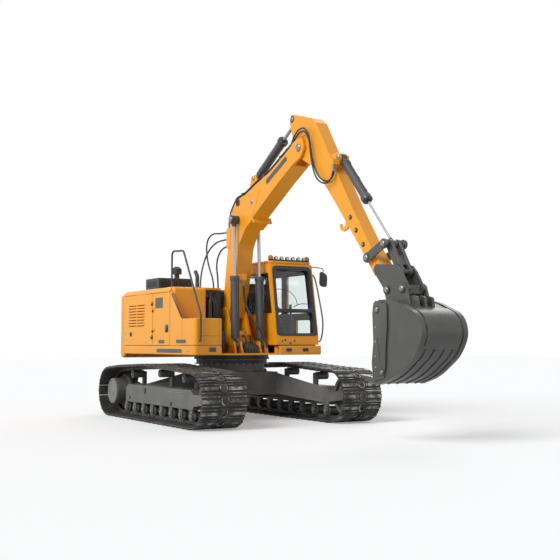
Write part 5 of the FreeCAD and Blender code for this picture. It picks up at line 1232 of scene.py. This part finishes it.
lining = bmesh.new()
for outer, inner, place in (
    (corners_of((-0.745, 1.40), (0.24, 2.81)), corners_of((-0.67, 1.93), (0.19, 2.64)), on_right),
    ([(0.24, 1.40), (0.90, 1.40), (0.66, 2.81), (0.24, 2.81)],
     [(0.29, 1.93), (0.775, 1.93), (0.64, 2.64), (0.29, 2.64)], on_right),
    (corners_of((-0.745, 1.40), (-0.18, 2.81)), corners_of((-0.67, 1.93), (-0.27, 2.64)), on_left),
    (corners_of((0.445, 1.40), (1.235, 2.81)), corners_of((0.52, 1.93), (1.16, 2.64)), on_rear),
):
    add_lining(lining, outer, inner, place)
add_plate(lining, corners_of((-0.745, 0.445), (0.66, 1.235)), 2.755, 2.765, "XY")
finished("cab_lining", lining, "house", lining_grey)

door_lining = bmesh.new()
add_lining(
    door_lining, [(-0.17, 1.83), (0.80, 1.83), (0.64, 2.72), (-0.17, 2.72)],
    [(-0.08, 1.93), (0.695, 1.93), (0.57, 2.64), (-0.08, 2.64)], on_left,
)
add_lining(door_lining, corners_of((-0.17, 1.41), (0.83, 1.83)), corners_of((0.26, 1.505), (0.75, 1.80)), on_left)
finished("door_lining", door_lining, "cab_door_leaf", lining_grey)

skirt = bmesh.new()
add_ring(
    skirt, rectangle((-0.77, 0.42), (0.92, 1.26), 0.03, 5), rectangle((-0.74, 0.45), (0.89, 1.23), 0.02, 5),
    lambda x, y, depth: (x, y, depth), 1.322, 1.350,
)
finished("cab_skirt", skirt, "house", rubber_black)

wiper = bmesh.new()
add_turned(
    wiper, on_screen(0.455, 2.345, 0.006), (1, 0, RAKE), [(0, 0.020), (0.012, 0.020), (0.016, 0.012), (0.016, 0)], 14
)
for radius, points in (
    (0.006, ((0.455, 2.345, 0.016), (0.58, 2.345, 0.022), (0.742, 2.305, 0.024), (0.851, 2.19, 0.024),
             (0.885, 2.068, 0.020))),
    (0.007, ((0.800, 2.028, 0.016), (0.90, 2.072, 0.016), (1.00, 2.090, 0.016), (1.095, 2.085, 0.016))),
):
    add_tube(wiper, arc_through([on_screen(*point) for point in points], 5), radius, 8)
finished("wiper", wiper, "house", moulded_black)

front_studs = bmesh.new()
for y, z, radius in ((0.521, 1.417, 0.013), (0.58, 1.432, 0.018), (0.685, 1.378, 0.018), (0.777, 1.417, 0.016)):
    add_turned(
        front_studs, (CAB_FRONT - 0.003, y, z), (1, 0, 0),
        [(0, radius * 1.1), (0.005, radius * 1.1), (0.009, radius * 0.7), (0.009, 0)], 16,
    )
finished("front_studs", front_studs, "house", latch_black)


# ---------------------------------------------------------------- lamps and beacons
# Work lamps with pressed glass lenses stand in a black bar over the screen, with an
# amber beacon on a moulded foot at each end; two marker lamps sit in the lower band.

lamp_glass = finish("lamp_glass", (0.80, 0.82, 0.82), 0.12, mottle=0.05, wear=0.0, dusting=0.03, coat=0.8,
                    grain_scale=300.0, bump=0.001)
bar = bmesh.new()
lenses = bmesh.new()
add_plate(bar, rectangle((0.655, 2.878), (0.702, 2.902), 0.008), 0.49, 1.19)
for index in range(6):
    y = 0.54 + 0.12 * index
    add_turned(
        bar, (0.648, y, 2.925), (1, 0, 0),
        [(0, 0.020), (0.008, 0.030), (0.046, 0.033), (0.050, 0.034), (0.058, 0.034), (0.058, 0.029), (0.052, 0.028),
         (0.052, 0)],
        20,
    )
    add_block(bar, (0.664, y - 0.012, 2.884), (0.692, y + 0.012, 2.912))
    add_turned(lenses, (0.6995, y, 2.925), (1, 0, 0), [(0, 0.0285), (0.003, 0.0285), (0.006, 0.018), (0.007, 0)], 20)
for low, high in (((0.52, 1.23), (0.63, 1.285)), ((0.87, 1.23), (0.98, 1.285))):
    add_ring(
        bar, rectangle(low, high, 0.012),
        rectangle((low[0] + 0.008, low[1] + 0.008), (high[0] - 0.008, high[1] - 0.008)),
        lambda y, z, depth: (depth, y, z), BAND_FRONT, 1.092,
    )
    add_plate(
        bar, rectangle((low[0] + 0.006, low[1] + 0.006), (high[0] - 0.006, high[1] - 0.006)), BAND_FRONT, 1.085, "YZ"
    )
finished("lamp_bar", bar, "house", moulded_black, replaced=["lamps"])
finished("lamp_lenses", lenses, "house", lamp_glass)

feet = bmesh.new()
domes = bmesh.new()
for y in (0.45, 1.23):
    add_turned(
        feet, (0.65, y, 2.878), (0, 0, 1),
        [(0, 0.036), (0.010, 0.038), (0.014, 0.050), (0.026, 0.050), (0.028, 0.042), (0.028, 0)], 24,
    )
    add_turned(
        domes, (0.65, y, 2.904), (0, 0, 1),
        [(0, 0.044), (0.006, 0.049), (0.014, 0.046), (0.022, 0.050), (0.032, 0.046), (0.040, 0.048), (0.054, 0.043),
         (0.068, 0.033), (0.076, 0.018), (0.079, 0)],
        24,
    )
finished("beacon_feet", feet, "house", moulded_black)
finished("beacon_domes", domes, "house", amber_lens, replaced=["beacons"])


# ---------------------------------------------------------------- mirror
# A moulded mirror head hangs on a bent steel arm at the cab's front left corner.

mirror = bmesh.new()
head_outline = rounded_outline([(1.338, 2.425), (1.500, 2.400), (1.510, 2.640), (1.352, 2.710)], 0.07, 6)
add_plate(mirror, head_outline, 0.893, 0.927, "YZ")
finished("mirror_head", mirror, "house", moulded_black, bevel=0.010, replaced=["mirror"])
mirror_arm = bmesh.new()
bend = [(0.66, 1.268, 2.79), (0.72, 1.32, 2.782), (0.84, 1.39, 2.765), (0.905, 1.42, 2.735), (0.908, 1.42, 2.66)]
add_tube(mirror_arm, arc_through(bend, 6), 0.009)
finished("mirror_arm", mirror_arm, "house", rail_black)
face = bmesh.new()
glass_outline = rounded_outline([(1.354, 2.442), (1.484, 2.422), (1.492, 2.628), (1.368, 2.685)], 0.06, 6)
add_plate(face, glass_outline, 0.8915, 0.8935, "YZ")
finished("mirror_glass", face, "house", rod_chrome)


# ---------------------------------------------------------------- grab bar
# One bent tube follows the cab's corner from the roof to the step, on welded feet.

bar = bmesh.new()
bend = [(0.700, 1.286, 2.640), (0.712, 1.345, 2.615), (0.770, 1.366, 2.450), (0.880, 1.372, 2.100),
        (0.965, 1.374, 1.780), (0.962, 1.366, 1.560), (0.930, 1.345, 1.425), (0.915, 1.286, 1.400)]
add_tube(bar, arc_through(bend, 6), 0.014, 12)
for pin in ((0.700, 2.640), (0.915, 1.400)):
    add_boss(bar, pin, 1, 1.288, [(0, 0.030), (0.006, 0.030), (0.008, 0.020), (0.008, 0)], 18)
finished("grab_bar_tube", bar, "house", rail_black, replaced=["grab_bar"])


# ---------------------------------------------------------------- seat
# Foam cushions in stitched cloth lie on a moulded pan over a rubber bellows.

def cushion(name, low, high, along, lean, channels):
    """A crowned pad whose sides pull in between its corners, with sewn channels."""
    size = [high[index] - low[index] for index in range(3)]
    middle = [(high[index] + low[index]) / 2 for index in range(3)]
    pad = bmesh.new()
    bmesh.ops.create_cube(pad, size=2.0)
    bmesh.ops.subdivide_edges(pad, edges=pad.edges[:], cuts=11, use_grid_fill=True)
    for vertex in pad.verts:
        u, v, w = vertex.co
        fullness = (1 - abs(u) ** 4) * (1 - abs(v) ** 4)
        edge = (1 - abs(w) ** 4)
        pull = 0.035 * (1 - min(abs(u), 1) ** 2) if abs(v) > 0.99 else 0.0
        pull_other = 0.035 * (1 - min(abs(v), 1) ** 2) if abs(u) > 0.99 else 0.0
        round_u = 1.0 - 0.05 * abs(v) ** 6 - 0.05 * (1 - edge)
        round_v = 1.0 - 0.05 * abs(u) ** 6 - 0.05 * (1 - edge)
        depth = 0.72 + 0.28 * fullness
        groove = 0.0
        for place in channels:
            groove += 0.10 * math.exp(-((v - place) / 0.05) ** 2) * (1 if w > 0 else 0)
        groove += 0.08 * math.exp(-((abs(u) - 0.62) / 0.05) ** 2) * (1 if w > 0 else 0)
        spot = [u * (round_u - pull_other), v * (round_v - pull), w * (depth - groove)]
        vertex.co = [middle[index] + spot[along[index]] * size[index] / 2 for index in range(3)]
        vertex.co.x += lean * (vertex.co.z - low[2])
    piece = placed(name, mesh_of(name, pad, seat_cloth))
    soften = piece.modifiers.new("soften", "SUBSURF")
    soften.levels = 1
    soften.render_levels = 1
    baked(piece)
    smoothed(piece.data, 60.0)
    riding(piece, "house", ["seat"])


SEAT_MIDDLE = 0.84
BACK_LEAN = -0.105 / 0.73
cushion("seat_cushion", (-0.42, SEAT_MIDDLE - 0.25, 1.727), (0.13, SEAT_MIDDLE + 0.25, 1.847), (1, 0, 2), 0.0,
        (-0.35, 0.3))
cushion("seat_back", (-0.425, SEAT_MIDDLE - 0.24, 1.82), (-0.30, SEAT_MIDDLE + 0.24, 2.525), (2, 0, 1), BACK_LEAN,
        (-0.4, 0.0, 0.45))
pan = bmesh.new()
add_plate(pan, rectangle((-0.40, SEAT_MIDDLE - 0.235), (0.11, SEAT_MIDDLE + 0.235), 0.05), 1.700, 1.728, "XY")
for index in range(7):
    half = 0.185 - (0.014 if index % 2 else 0.0)
    low = 1.45 + 0.036 * index
    add_plate(
        pan, rectangle((-0.145 - half, SEAT_MIDDLE - half), (-0.145 + half, SEAT_MIDDLE + half), 0.04),
        low, low + 0.038, "XY",
    )
add_plate(pan, rectangle((-0.35, SEAT_MIDDLE - 0.19), (0.06, SEAT_MIDDLE + 0.19), 0.03), 1.395, 1.455, "XY")
finished("seat_pan", pan, "house", moulded_black, bevel=0.004)


# ---------------------------------------------------------------- controls
# Joysticks with rubber boots stand on the armrest consoles, the travel levers in front of
# them, and a dim display stands by the front pillar.

sticks = bmesh.new()
for side in (-1, 1):
    y = SEAT_MIDDLE + side * 0.318
    add_turned(
        sticks, (0.18, y, 1.873), (0, 0, 1),
        [(0, 0.038), (0.010, 0.036), (0.014, 0.029), (0.024, 0.030), (0.028, 0.023), (0.038, 0.024), (0.044, 0.012)],
        18,
    )
    add_turned(
        sticks, (0.18, y, 1.91), (0.06, 0, 1),
        [(0, 0.009), (0.09, 0.010), (0.10, 0.020), (0.15, 0.022), (0.18, 0.018), (0.19, 0.012), (0.192, 0)], 16,
    )
    add_turned(
        sticks, (0.60, SEAT_MIDDLE + side * 0.07, 1.90), (0, 0, 1),
        [(0, 0.013), (0.01, 0.018), (0.06, 0.018), (0.07, 0.010), (0.07, 0)], 14,
    )
finished("joysticks", sticks, "house", moulded_black)
display = bmesh.new()
add_plate(display, rectangle((0.47, 1.93), (0.60, 2.10), 0.015, 5), 0.60, 0.625, "YZ")
add_tube(display, [(0.612, 0.535, 1.94), (0.612, 0.50, 1.86), (0.612, 0.446, 1.85)], 0.010, 8)
finished("display", display, "house", moulded_black, bevel=0.003)


# ---------------------------------------------------------------- boom and stick
# Box sections welded from plate taper away from a heavy elbow; bored steel bosses are
# welded in where pins pass, and a bare plate is riveted to each side of the boom.

rounded_shell("boom", 0.014, 3)
rounded_shell("stick", 0.012, 3)
BOOM_SIDE = 0.16
STICK_SIDE = 0.105
BOOM_TIP = (2.58, 4.55)
CROWD_BASE = (0.95, 4.29)
CROWD_EYE = (2.30, 5.08)
CURL_BASE = (3.60, 4.23)
bead = finish("weld_bead", (0.70, 0.28, 0.02), 0.5, mottle=0.12, wear=0.2, dusting=0.08, grain_scale=260.0, bump=0.002)
pin_steel = finish("pin_steel", (0.34, 0.335, 0.325), 0.30, mottle=0.1, wear=0.3, dusting=0.1, metallic=0.9)

plaque = bmesh.new()
along = Vector((0.905, 0.425)).normalized()
up = Vector((-along.y, along.x))
middle = Vector((1.875, 4.285))


def on_plaque(reaches):
    return [middle + along * a * 0.37 + up * b * 0.042 for a, b in reaches]


boom_studs = []
for side in (-1, 1):
    outline = rounded_outline(on_plaque(corners_of((-1, -1), (1, 1))), 0.015, 3)
    add_plate(plaque, outline, side * (BOOM_SIDE - 0.001), side * (BOOM_SIDE + 0.003))
    boom_studs += on_side(side, BOOM_SIDE + 0.0025, on_plaque(corners_of((-0.95, -0.6), (0.95, 0.6))))
finished("boom_plates", plaque, "boom", plate_grey)
bolts("boom_plate_rivets", "boom", boom_studs, 0.005)


def add_pin_cap(shell, pin, side, face, radius):
    """A pin's end plate: a stepped disc with a greasing hollow in its middle."""
    add_boss(
        shell, pin, side, face - 0.003,
        [(0, radius), (0.008, radius), (0.012, radius - 0.005), (0.012, radius * 0.62), (0.016, radius * 0.56),
         (0.016, radius * 0.24), (0.010, radius * 0.18), (0.010, 0)],
        28,
    )


boom_caps, boom_bosses, stick_caps, stick_bosses = (bmesh.new() for _ in range(4))
cap_bolts = []
stick_bolts = []
for side in (-1, 1):
    for pin, face, radius in ((BOOM_TIP, 0.175, 0.062), (CROWD_BASE, 0.088, 0.040), ((1.02, 3.86), BOOM_SIDE, 0.045)):
        add_pin_cap(boom_caps, pin, side, face, radius)
    cap_bolts += circle((BOOM_TIP[0], side * 0.184, BOOM_TIP[1]), (0, side, 0), 0.047, 4)
    add_boss(
        boom_bosses, (0.523, 3.91), side, BOOM_SIDE - 0.002,
        [(0, 0.066), (0.012, 0.066), (0.016, 0.060), (0.016, 0.040), (0.006, 0.036), (0.006, 0)], 32,
    )
    add_pin_cap(stick_caps, CURL_BASE, side, 0.095, 0.042)
    add_pin_cap(stick_caps, CROWD_EYE, side, STICK_SIDE, 0.036)
    add_boss(
        stick_bosses, CROWD_EYE, side, STICK_SIDE - 0.002,
        [(0, 0.058), (0.006, 0.058), (0.009, 0.053), (0.009, 0.034), (0, 0.034)], 28,
    )
    studs = ((3.955, 3.257), (4.10, 3.049), (4.277, 2.821))
    for pin in studs:
        add_boss(
            stick_bosses, pin, side, STICK_SIDE - 0.001, [(0, 0.036), (0.010, 0.036), (0.013, 0.031), (0.013, 0)], 22
        )
    stick_bolts += on_side(side, STICK_SIDE + 0.0115, studs)
cap_bolts += on_side(-1, BOOM_SIDE + 0.0005, ((2.408, 4.575), (2.563, 4.701)))
finished("boom_pin_caps", boom_caps, "boom", pin_steel)
finished("boom_bosses", boom_bosses, "boom", race_black)
bolts("boom_cap_bolts", "boom", cap_bolts, 0.008)
finished("stick_pin_caps", stick_caps, "stick", pin_steel)
finished("stick_bosses", stick_bosses, "stick", race_black)
bolts("stick_bolts", "stick", stick_bolts, 0.009)

for body, half, begin, end in (
    ("boom", BOOM_SIDE, (1.02, 3.55), (1.32, 4.02)),
    ("stick", STICK_SIDE, (2.96, 4.575), (3.484, 4.019)),
):
    seam = bmesh.new()
    for y in (-half, half):
        add_tube(seam, [(begin[0], y, begin[1]), (end[0], y, end[1])], 0.004, 6)
    finished(f"{body}_weld", seam, body, bead)


# ---------------------------------------------------------------- cylinders
# Each ram is a honed tube with a screwed gland and a welded base; a thin pipe feeds its
# far end along the tube, held by strapped clamps, and the rod is hard chromed. The curl
# ram's tube has a stepped sleeve.

gland_steel = finish("gland_steel", (0.045, 0.048, 0.050), 0.30, mottle=0.08, dusting=0.08, bump=0.0005, coat=0.3)


def dress_cylinder(name, base, eye, y, radius, length, flare, bar, barrel, rod, rod_node, pipe_side):
    """Gland, clamps and feed pipe on one ram's tube, and its polished rod with its eye."""
    begin = Vector((base[0], y, base[1]))
    end = Vector((eye[0], y, eye[1]))
    way = (end - begin).normalized()
    out = Vector((way.z, 0, -way.x)) * pipe_side
    collars = bmesh.new()
    add_turned(
        collars, begin + way * (length - 0.085), way,
        [(0, radius * 1.0), (0.003, radius * 1.06), (0.016, radius * 1.07), (0.018, radius * flare),
         (0.046, radius * flare), (0.049, radius * (flare - 0.06)), (0.055, radius * (flare - 0.06)),
         (0.057, radius * flare), (0.074, radius * (flare - 0.01)), (0.083, radius * 0.96), (0.085, radius * 0.70),
         (0.085, bar * 1.45), (0.080, bar * 1.35), (0.050, bar * 1.35)],
        36, ring=True,
    )
    for share in (0.22, 0.56, 0.84):
        place = begin + way * (length * share)
        add_turned(
            collars, place - way * 0.011, way,
            [(0, radius * 0.99), (0.001, radius * 1.045), (0.021, radius * 1.045), (0.022, radius * 0.99)], 32,
            ring=True,
        )
        lug = place + out * (radius + 0.013)
        add_turned(collars, lug - way * 0.014, way, [(0, 0.015), (0.028, 0.015)], 10)
    finished(f"{name}_gland", collars, barrel, gland_steel)
    feed = bmesh.new()
    near = begin + way * (length * 0.12)
    far = begin + way * (length - 0.05)
    lift = out * (radius + 0.013)
    add_tube(
        feed,
        arc_through([near + out * radius * 0.9, near + lift + way * 0.02, near + lift + way * 0.06], 4)[:-1]
        + [near + lift + way * 0.08, far + lift - way * 0.05]
        + arc_through([far + lift - way * 0.045, far + lift - way * 0.015, far + out * radius * 1.1], 4),
        0.008, 8,
    )
    finished(f"{name}_feed", feed, barrel, gland_steel)

    low, high = (Vector(corner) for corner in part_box(rod_node))
    half_eye = (high.y - low.y) / 2
    eye_radius = min(abs(high.z - eye[1]), abs(eye[1] - low.z))
    cad_radius = radius * 0.55
    if abs(way.z) > 0.9:
        start = (low.z + cad_radius * abs(way.x) - begin.z) / way.z
    else:
        start = (low.x + cad_radius * abs(way.z) - begin.x) / way.x
    reach = (end - begin).length
    polished = bmesh.new()
    add_turned(
        polished, begin + way * start, way,
        [(0, bar * 0.8), (0.004, bar), (reach - start - eye_radius * 0.8, bar)], 24,
    )
    finished(f"{name}_rod_bar", polished, rod, rod_chrome, replaced=[rod_node])
    head = bmesh.new()
    add_turned(
        head, begin + way * (reach - eye_radius - 0.055), way,
        [(0, bar * 1.02), (0.002, bar * 1.35), (0.030, bar * 1.5),
         (0.055 + eye_radius * 0.5, min(half_eye, bar * 1.9))],
        24,
    )
    add_turned(
        head, (eye[0], y - half_eye, eye[1]), (0, 1, 0),
        [(0, eye_radius * 0.60), (0, eye_radius - 0.006), (0.006, eye_radius), (2 * half_eye - 0.006, eye_radius),
         (2 * half_eye, eye_radius - 0.006), (2 * half_eye, eye_radius * 0.60)],
        32,
    )
    finished(f"{name}_rod_eye", head, rod, gland_steel)


LIFT_BASE = (0.62, 1.34)
LIFT_EYE = (0.55, 3.59)
LIFT_SIDE = 0.255
KNEE = (4.86, 2.78)
for side, y in (("right", -LIFT_SIDE), ("left", LIFT_SIDE)):
    dress_cylinder(
        f"lift_{side}", LIFT_BASE, LIFT_EYE, y, 0.078, 1.23, 1.145, 0.031, f"lift_barrel_{side}", f"lift_rod_{side}",
        f"lift_cylinder_{side}_rod", 1,
    )
for name, base, eye, radius, length, flare, bar in (
    ("crowd", CROWD_BASE, CROWD_EYE, 0.075, 1.046, 1.25, 0.030),
    ("curl", CURL_BASE, KNEE, 0.062, 1.0, 1.30, 0.019),
):
    dress_cylinder(
        name, base, eye, 0.0, radius, length, flare, bar, f"{name}_barrel", f"{name}_rod", f"{name}_cylinder_rod", -1
    )

for name, side in (("right", -1), ("left", 1)):
    low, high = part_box(f"lift_cylinder_{name}_rod")
    pin = bmesh.new()
    add_pin_cap(pin, LIFT_EYE, side, -low[1] if side < 0 else high[1], 0.052)
    finished(f"lift_{name}_pin_cap", pin, f"lift_rod_{name}", pin_steel)

sleeve = bmesh.new()
curl_base = Vector((CURL_BASE[0], 0, CURL_BASE[1]))
curl_way = (Vector((KNEE[0], 0, KNEE[1])) - curl_base).normalized()
add_turned(
    sleeve, curl_base + curl_way * 0.12, curl_way,
    [(0, 0.050), (0.002, 0.072), (0.018, 0.076), (0.020, 0.070), (0.028, 0.070), (0.030, 0.077), (0.050, 0.076),
     (0.054, 0.068), (0.770, 0.068), (0.774, 0.080), (0.796, 0.084), (0.830, 0.085), (0.856, 0.081), (0.866, 0.068),
     (0.868, 0.050)],
    36, ring=True,
)
finished("curl_sleeve", sleeve, "curl_barrel", barrel_grey)


# ---------------------------------------------------------------- linkage and quick coupler
# Guide links and a bucket link, cut from thick plate, turn on hardened pins between
# steel rings, and stepped end plates keep them in place.

for node in ("guide_links", "bucket_link", "quick_coupler"):
    rounded_shell(node, 0.010, 3)
HOOK_HEIGHT = 2.125
link_caps, coupler_caps, link_rings, coupler_rings = (bmesh.new() for _ in range(4))
for side in (-1, 1):
    for caps, rings, pin, face, radius in (
        (link_caps, link_rings, (4.46, 2.61), 0.200, 0.040),
        (link_caps, link_rings, KNEE, 0.200, 0.040),
        (coupler_caps, coupler_rings, (4.94, HOOK_HEIGHT), 0.205, 0.038),
        (coupler_caps, coupler_rings, (5.28, HOOK_HEIGHT), 0.205, 0.038),
        (None, coupler_rings, (4.66, 2.41), 0.151, 0.038),
    ):
        if caps:
            add_pin_cap(caps, pin, side, face, radius)
        add_boss(
            rings, pin, side, face - 0.012,
            [(0, radius + 0.026), (0.012, radius + 0.026), (0.015, radius + 0.020), (0.015, radius - 0.004),
             (0, radius - 0.004)],
            28, ring=True,
        )
finished("link_pin_caps", link_caps, "guide", pin_steel)
finished("coupler_pin_caps", coupler_caps, "bucket", pin_steel)
finished("link_pin_rings", link_rings, "guide", tool_grey)
finished("coupler_pin_rings", coupler_rings, "bucket", tool_grey)


# ---------------------------------------------------------------- bucket
# A rolled skin between two side plates, with a lip, five pinned teeth, bolted side
# cutters and welded wear strips; the edges are rubbed to bright steel.

rounded_shell("bucket_shell", 0.008, 2)
rounded_shell("bucket_teeth", 0.008, 2)
BUCKET_SIDE = 0.4245
cutters, pivots, slot_shade = (bmesh.new() for _ in range(3))
cutter_bolts = []
outline = [(4.935, 1.925), (5.20, 1.925), (5.235, 1.89), (5.240, 1.60), (5.205, 1.32), (5.195, 1.05), (5.150, 0.93),
           (4.930, 0.875), (4.897, 1.12), (4.937, 1.40), (4.917, 1.79)]
lean = Vector((0.064, -0.345)).normalized() * 0.17
square = Vector((-lean.y, lean.x)).normalized() * 0.008
spot = Vector((5.055, 1.290))
slot_outline = [spot - lean - square, spot + lean - square, spot + lean + square, spot - lean + square]
for side in (-1, 1):
    add_plate(cutters, rounded_outline(outline, 0.03, 3), side * 0.399, side * BUCKET_SIDE)
    for pin, radius in (((5.005, 1.842), 0.040), ((5.115, 0.985), 0.034)):
        add_boss(
            cutters, pin, side, BUCKET_SIDE - 0.002,
            [(0, radius * 1.45), (0.010, radius * 1.45), (0.014, radius * 1.3), (0.014, radius * 0.9),
             (0.006, radius * 0.85)],
            28,
        )
        add_pin_cap(pivots, pin, side, BUCKET_SIDE, radius * 0.8)
    # The slot-shaped near-black plate on each cutter is painted shade.
    add_plate(slot_shade, rounded_outline(slot_outline, 0.007, 3), side * BUCKET_SIDE, side * (BUCKET_SIDE + 0.0012))
    cutter_bolts += on_side(side, BUCKET_SIDE - 0.0005, ((4.985, 1.60), (4.985, 1.40), (4.980, 1.20), (4.985, 1.05)))
finished("side_cutters", cutters, "bucket", tool_grey, bevel=0.004)
finished("bucket_pins", pivots, "bucket", pin_steel)
finished("cutter_slots", slot_shade, "bucket", race_black)
bolts("cutter_bolts", "bucket", cutter_bolts, 0.010)


# ---------------------------------------------------------------- hoses
# Rubber hoses with crimped steel ends join the ports on the upper body, the
# boom and the stick.

hose_end = finish("hose_end", (0.30, 0.29, 0.27), 0.32, mottle=0.12, wear=0.3, dusting=0.1, metallic=0.85)
end_spots = []


def hose(name, route, radius, before, after, replaced):
    """A hose bent along its route between two bodies near their joint; it rides on neither."""
    curve = bpy.data.curves.new(f"{name}_line", "CURVE")
    curve.dimensions = "3D"
    run = curve.splines.new("NURBS")
    run.points.add(len(route) - 1)
    for point, place in zip(run.points, route):
        point.co = (*place, 1.0)
    run.order_u = 3
    run.use_endpoint_u = True
    curve.resolution_u = 8
    line = placed(f"{name}_line", curve)
    centre = evaluated(line)
    path = [vertex.co.copy() for vertex in centre.vertices]
    bpy.data.meshes.remove(centre)
    bpy.data.objects.remove(line)
    bpy.data.curves.remove(curve)
    tube = bmesh.new()
    add_tube(tube, path, radius, 14)
    mesh = mesh_of(name, tube, hose_black)
    smoothed(mesh)
    piece = placed(name, mesh)
    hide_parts(replaced)
    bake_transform(piece)
    end_spots.append((before, path[0], (path[1] - path[0]).normalized(), radius))
    end_spots.append((after, path[-1], (path[-2] - path[-1]).normalized(), radius))


HOSE_RADIUS = 0.015
LIFT_HOSE_RADIUS = 0.018
NOSE_HOSE_RADIUS = 0.013
BOOM_HOSES = (
    [(0.100, -0.150, 3.410), (-0.180, -0.150, 3.410), (-0.480, -0.165, 3.450), (-0.705, -0.175, 3.320),
     (-0.700, -0.175, 3.040), (-0.590, -0.170, 2.780), (-0.425, -0.160, 2.540), (-0.425, -0.160, 2.290)],
    [(0.100, -0.105, 3.290), (-0.150, -0.105, 3.290), (-0.410, -0.130, 3.270), (-0.630, -0.180, 3.120),
     (-0.720, -0.240, 2.870), (-0.690, -0.310, 2.600), (-0.690, -0.310, 2.380)],
    [(0.100, -0.060, 3.180), (-0.140, -0.060, 3.180), (-0.360, -0.080, 3.080), (-0.450, -0.100, 2.850),
     (-0.420, -0.070, 2.560), (-0.420, -0.070, 2.290)],
)
for index, route in enumerate(BOOM_HOSES):
    hose(f"boom_hose_run_{index}", route, HOSE_RADIUS, "boom", "house", f"boom_hose_{index}")
LIFT_HOSE = [
    (0.560, -0.060, 2.500), (0.560, -0.060, 2.340), (0.600, -0.055, 2.140), (0.670, -0.030, 1.950),
    (0.750, 0.025, 1.790), (0.820, 0.110, 1.660), (0.850, 0.185, 1.500), (0.865, 0.245, 1.345),
    (0.865, 0.255, 1.200),
]
hose("lift_hose_run", LIFT_HOSE, LIFT_HOSE_RADIUS, "boom", "house", "lift_hose")
NOSE_HOSES = (
    [(2.250, -0.142, 4.618), (2.4285, -0.142, 4.7002), (2.620, -0.182, 4.790), (2.830, -0.196, 4.780),
     (2.955, -0.196, 4.610), (2.990, -0.192, 4.390), (3.035, -0.190, 4.180), (3.125, -0.190, 3.990),
     (3.275, -0.190, 3.870), (3.460, -0.190, 3.830), (3.625, -0.190, 3.925), (3.625, -0.190, 4.100)],
    [(2.10125, -0.108, 4.5495), (2.250, -0.108, 4.618), (2.390, -0.144, 4.740), (2.570, -0.158, 4.850),
     (2.770, -0.158, 4.850), (2.895, -0.154, 4.670), (2.935, -0.148, 4.450), (2.985, -0.144, 4.240),
     (3.090, -0.144, 4.050), (3.230, -0.144, 3.930), (3.395, -0.144, 3.875), (3.520, -0.144, 3.905),
     (3.590, -0.144, 4.000), (3.590, -0.144, 4.100)],
)
for index, route in enumerate(NOSE_HOSES):
    hose(f"nose_hose_run_{index}", route, NOSE_HOSE_RADIUS, "boom", "stick", f"nose_hose_{index}")

for body in sorted({spot[0] for spot in end_spots}):
    ends = bmesh.new()
    for _, place, way, radius in (spot for spot in end_spots if spot[0] == body):
        add_turned(
            ends, place - way * 0.004, way,
            [(0, radius * 1.05), (0.014, radius * 1.05), (0.014, radius * 1.45), (0.032, radius * 1.45),
             (0.034, radius * 1.15), (0.052, radius * 1.15), (0.054, radius * 1.3), (0.062, radius * 1.15),
             (0.074, radius * 1.3), (0.086, radius * 1.15), (0.100, radius * 1.3), (0.104, radius * 1.02)],
            12,
        )
    finished(f"hose_ends_{body}", ends, body, hose_end)
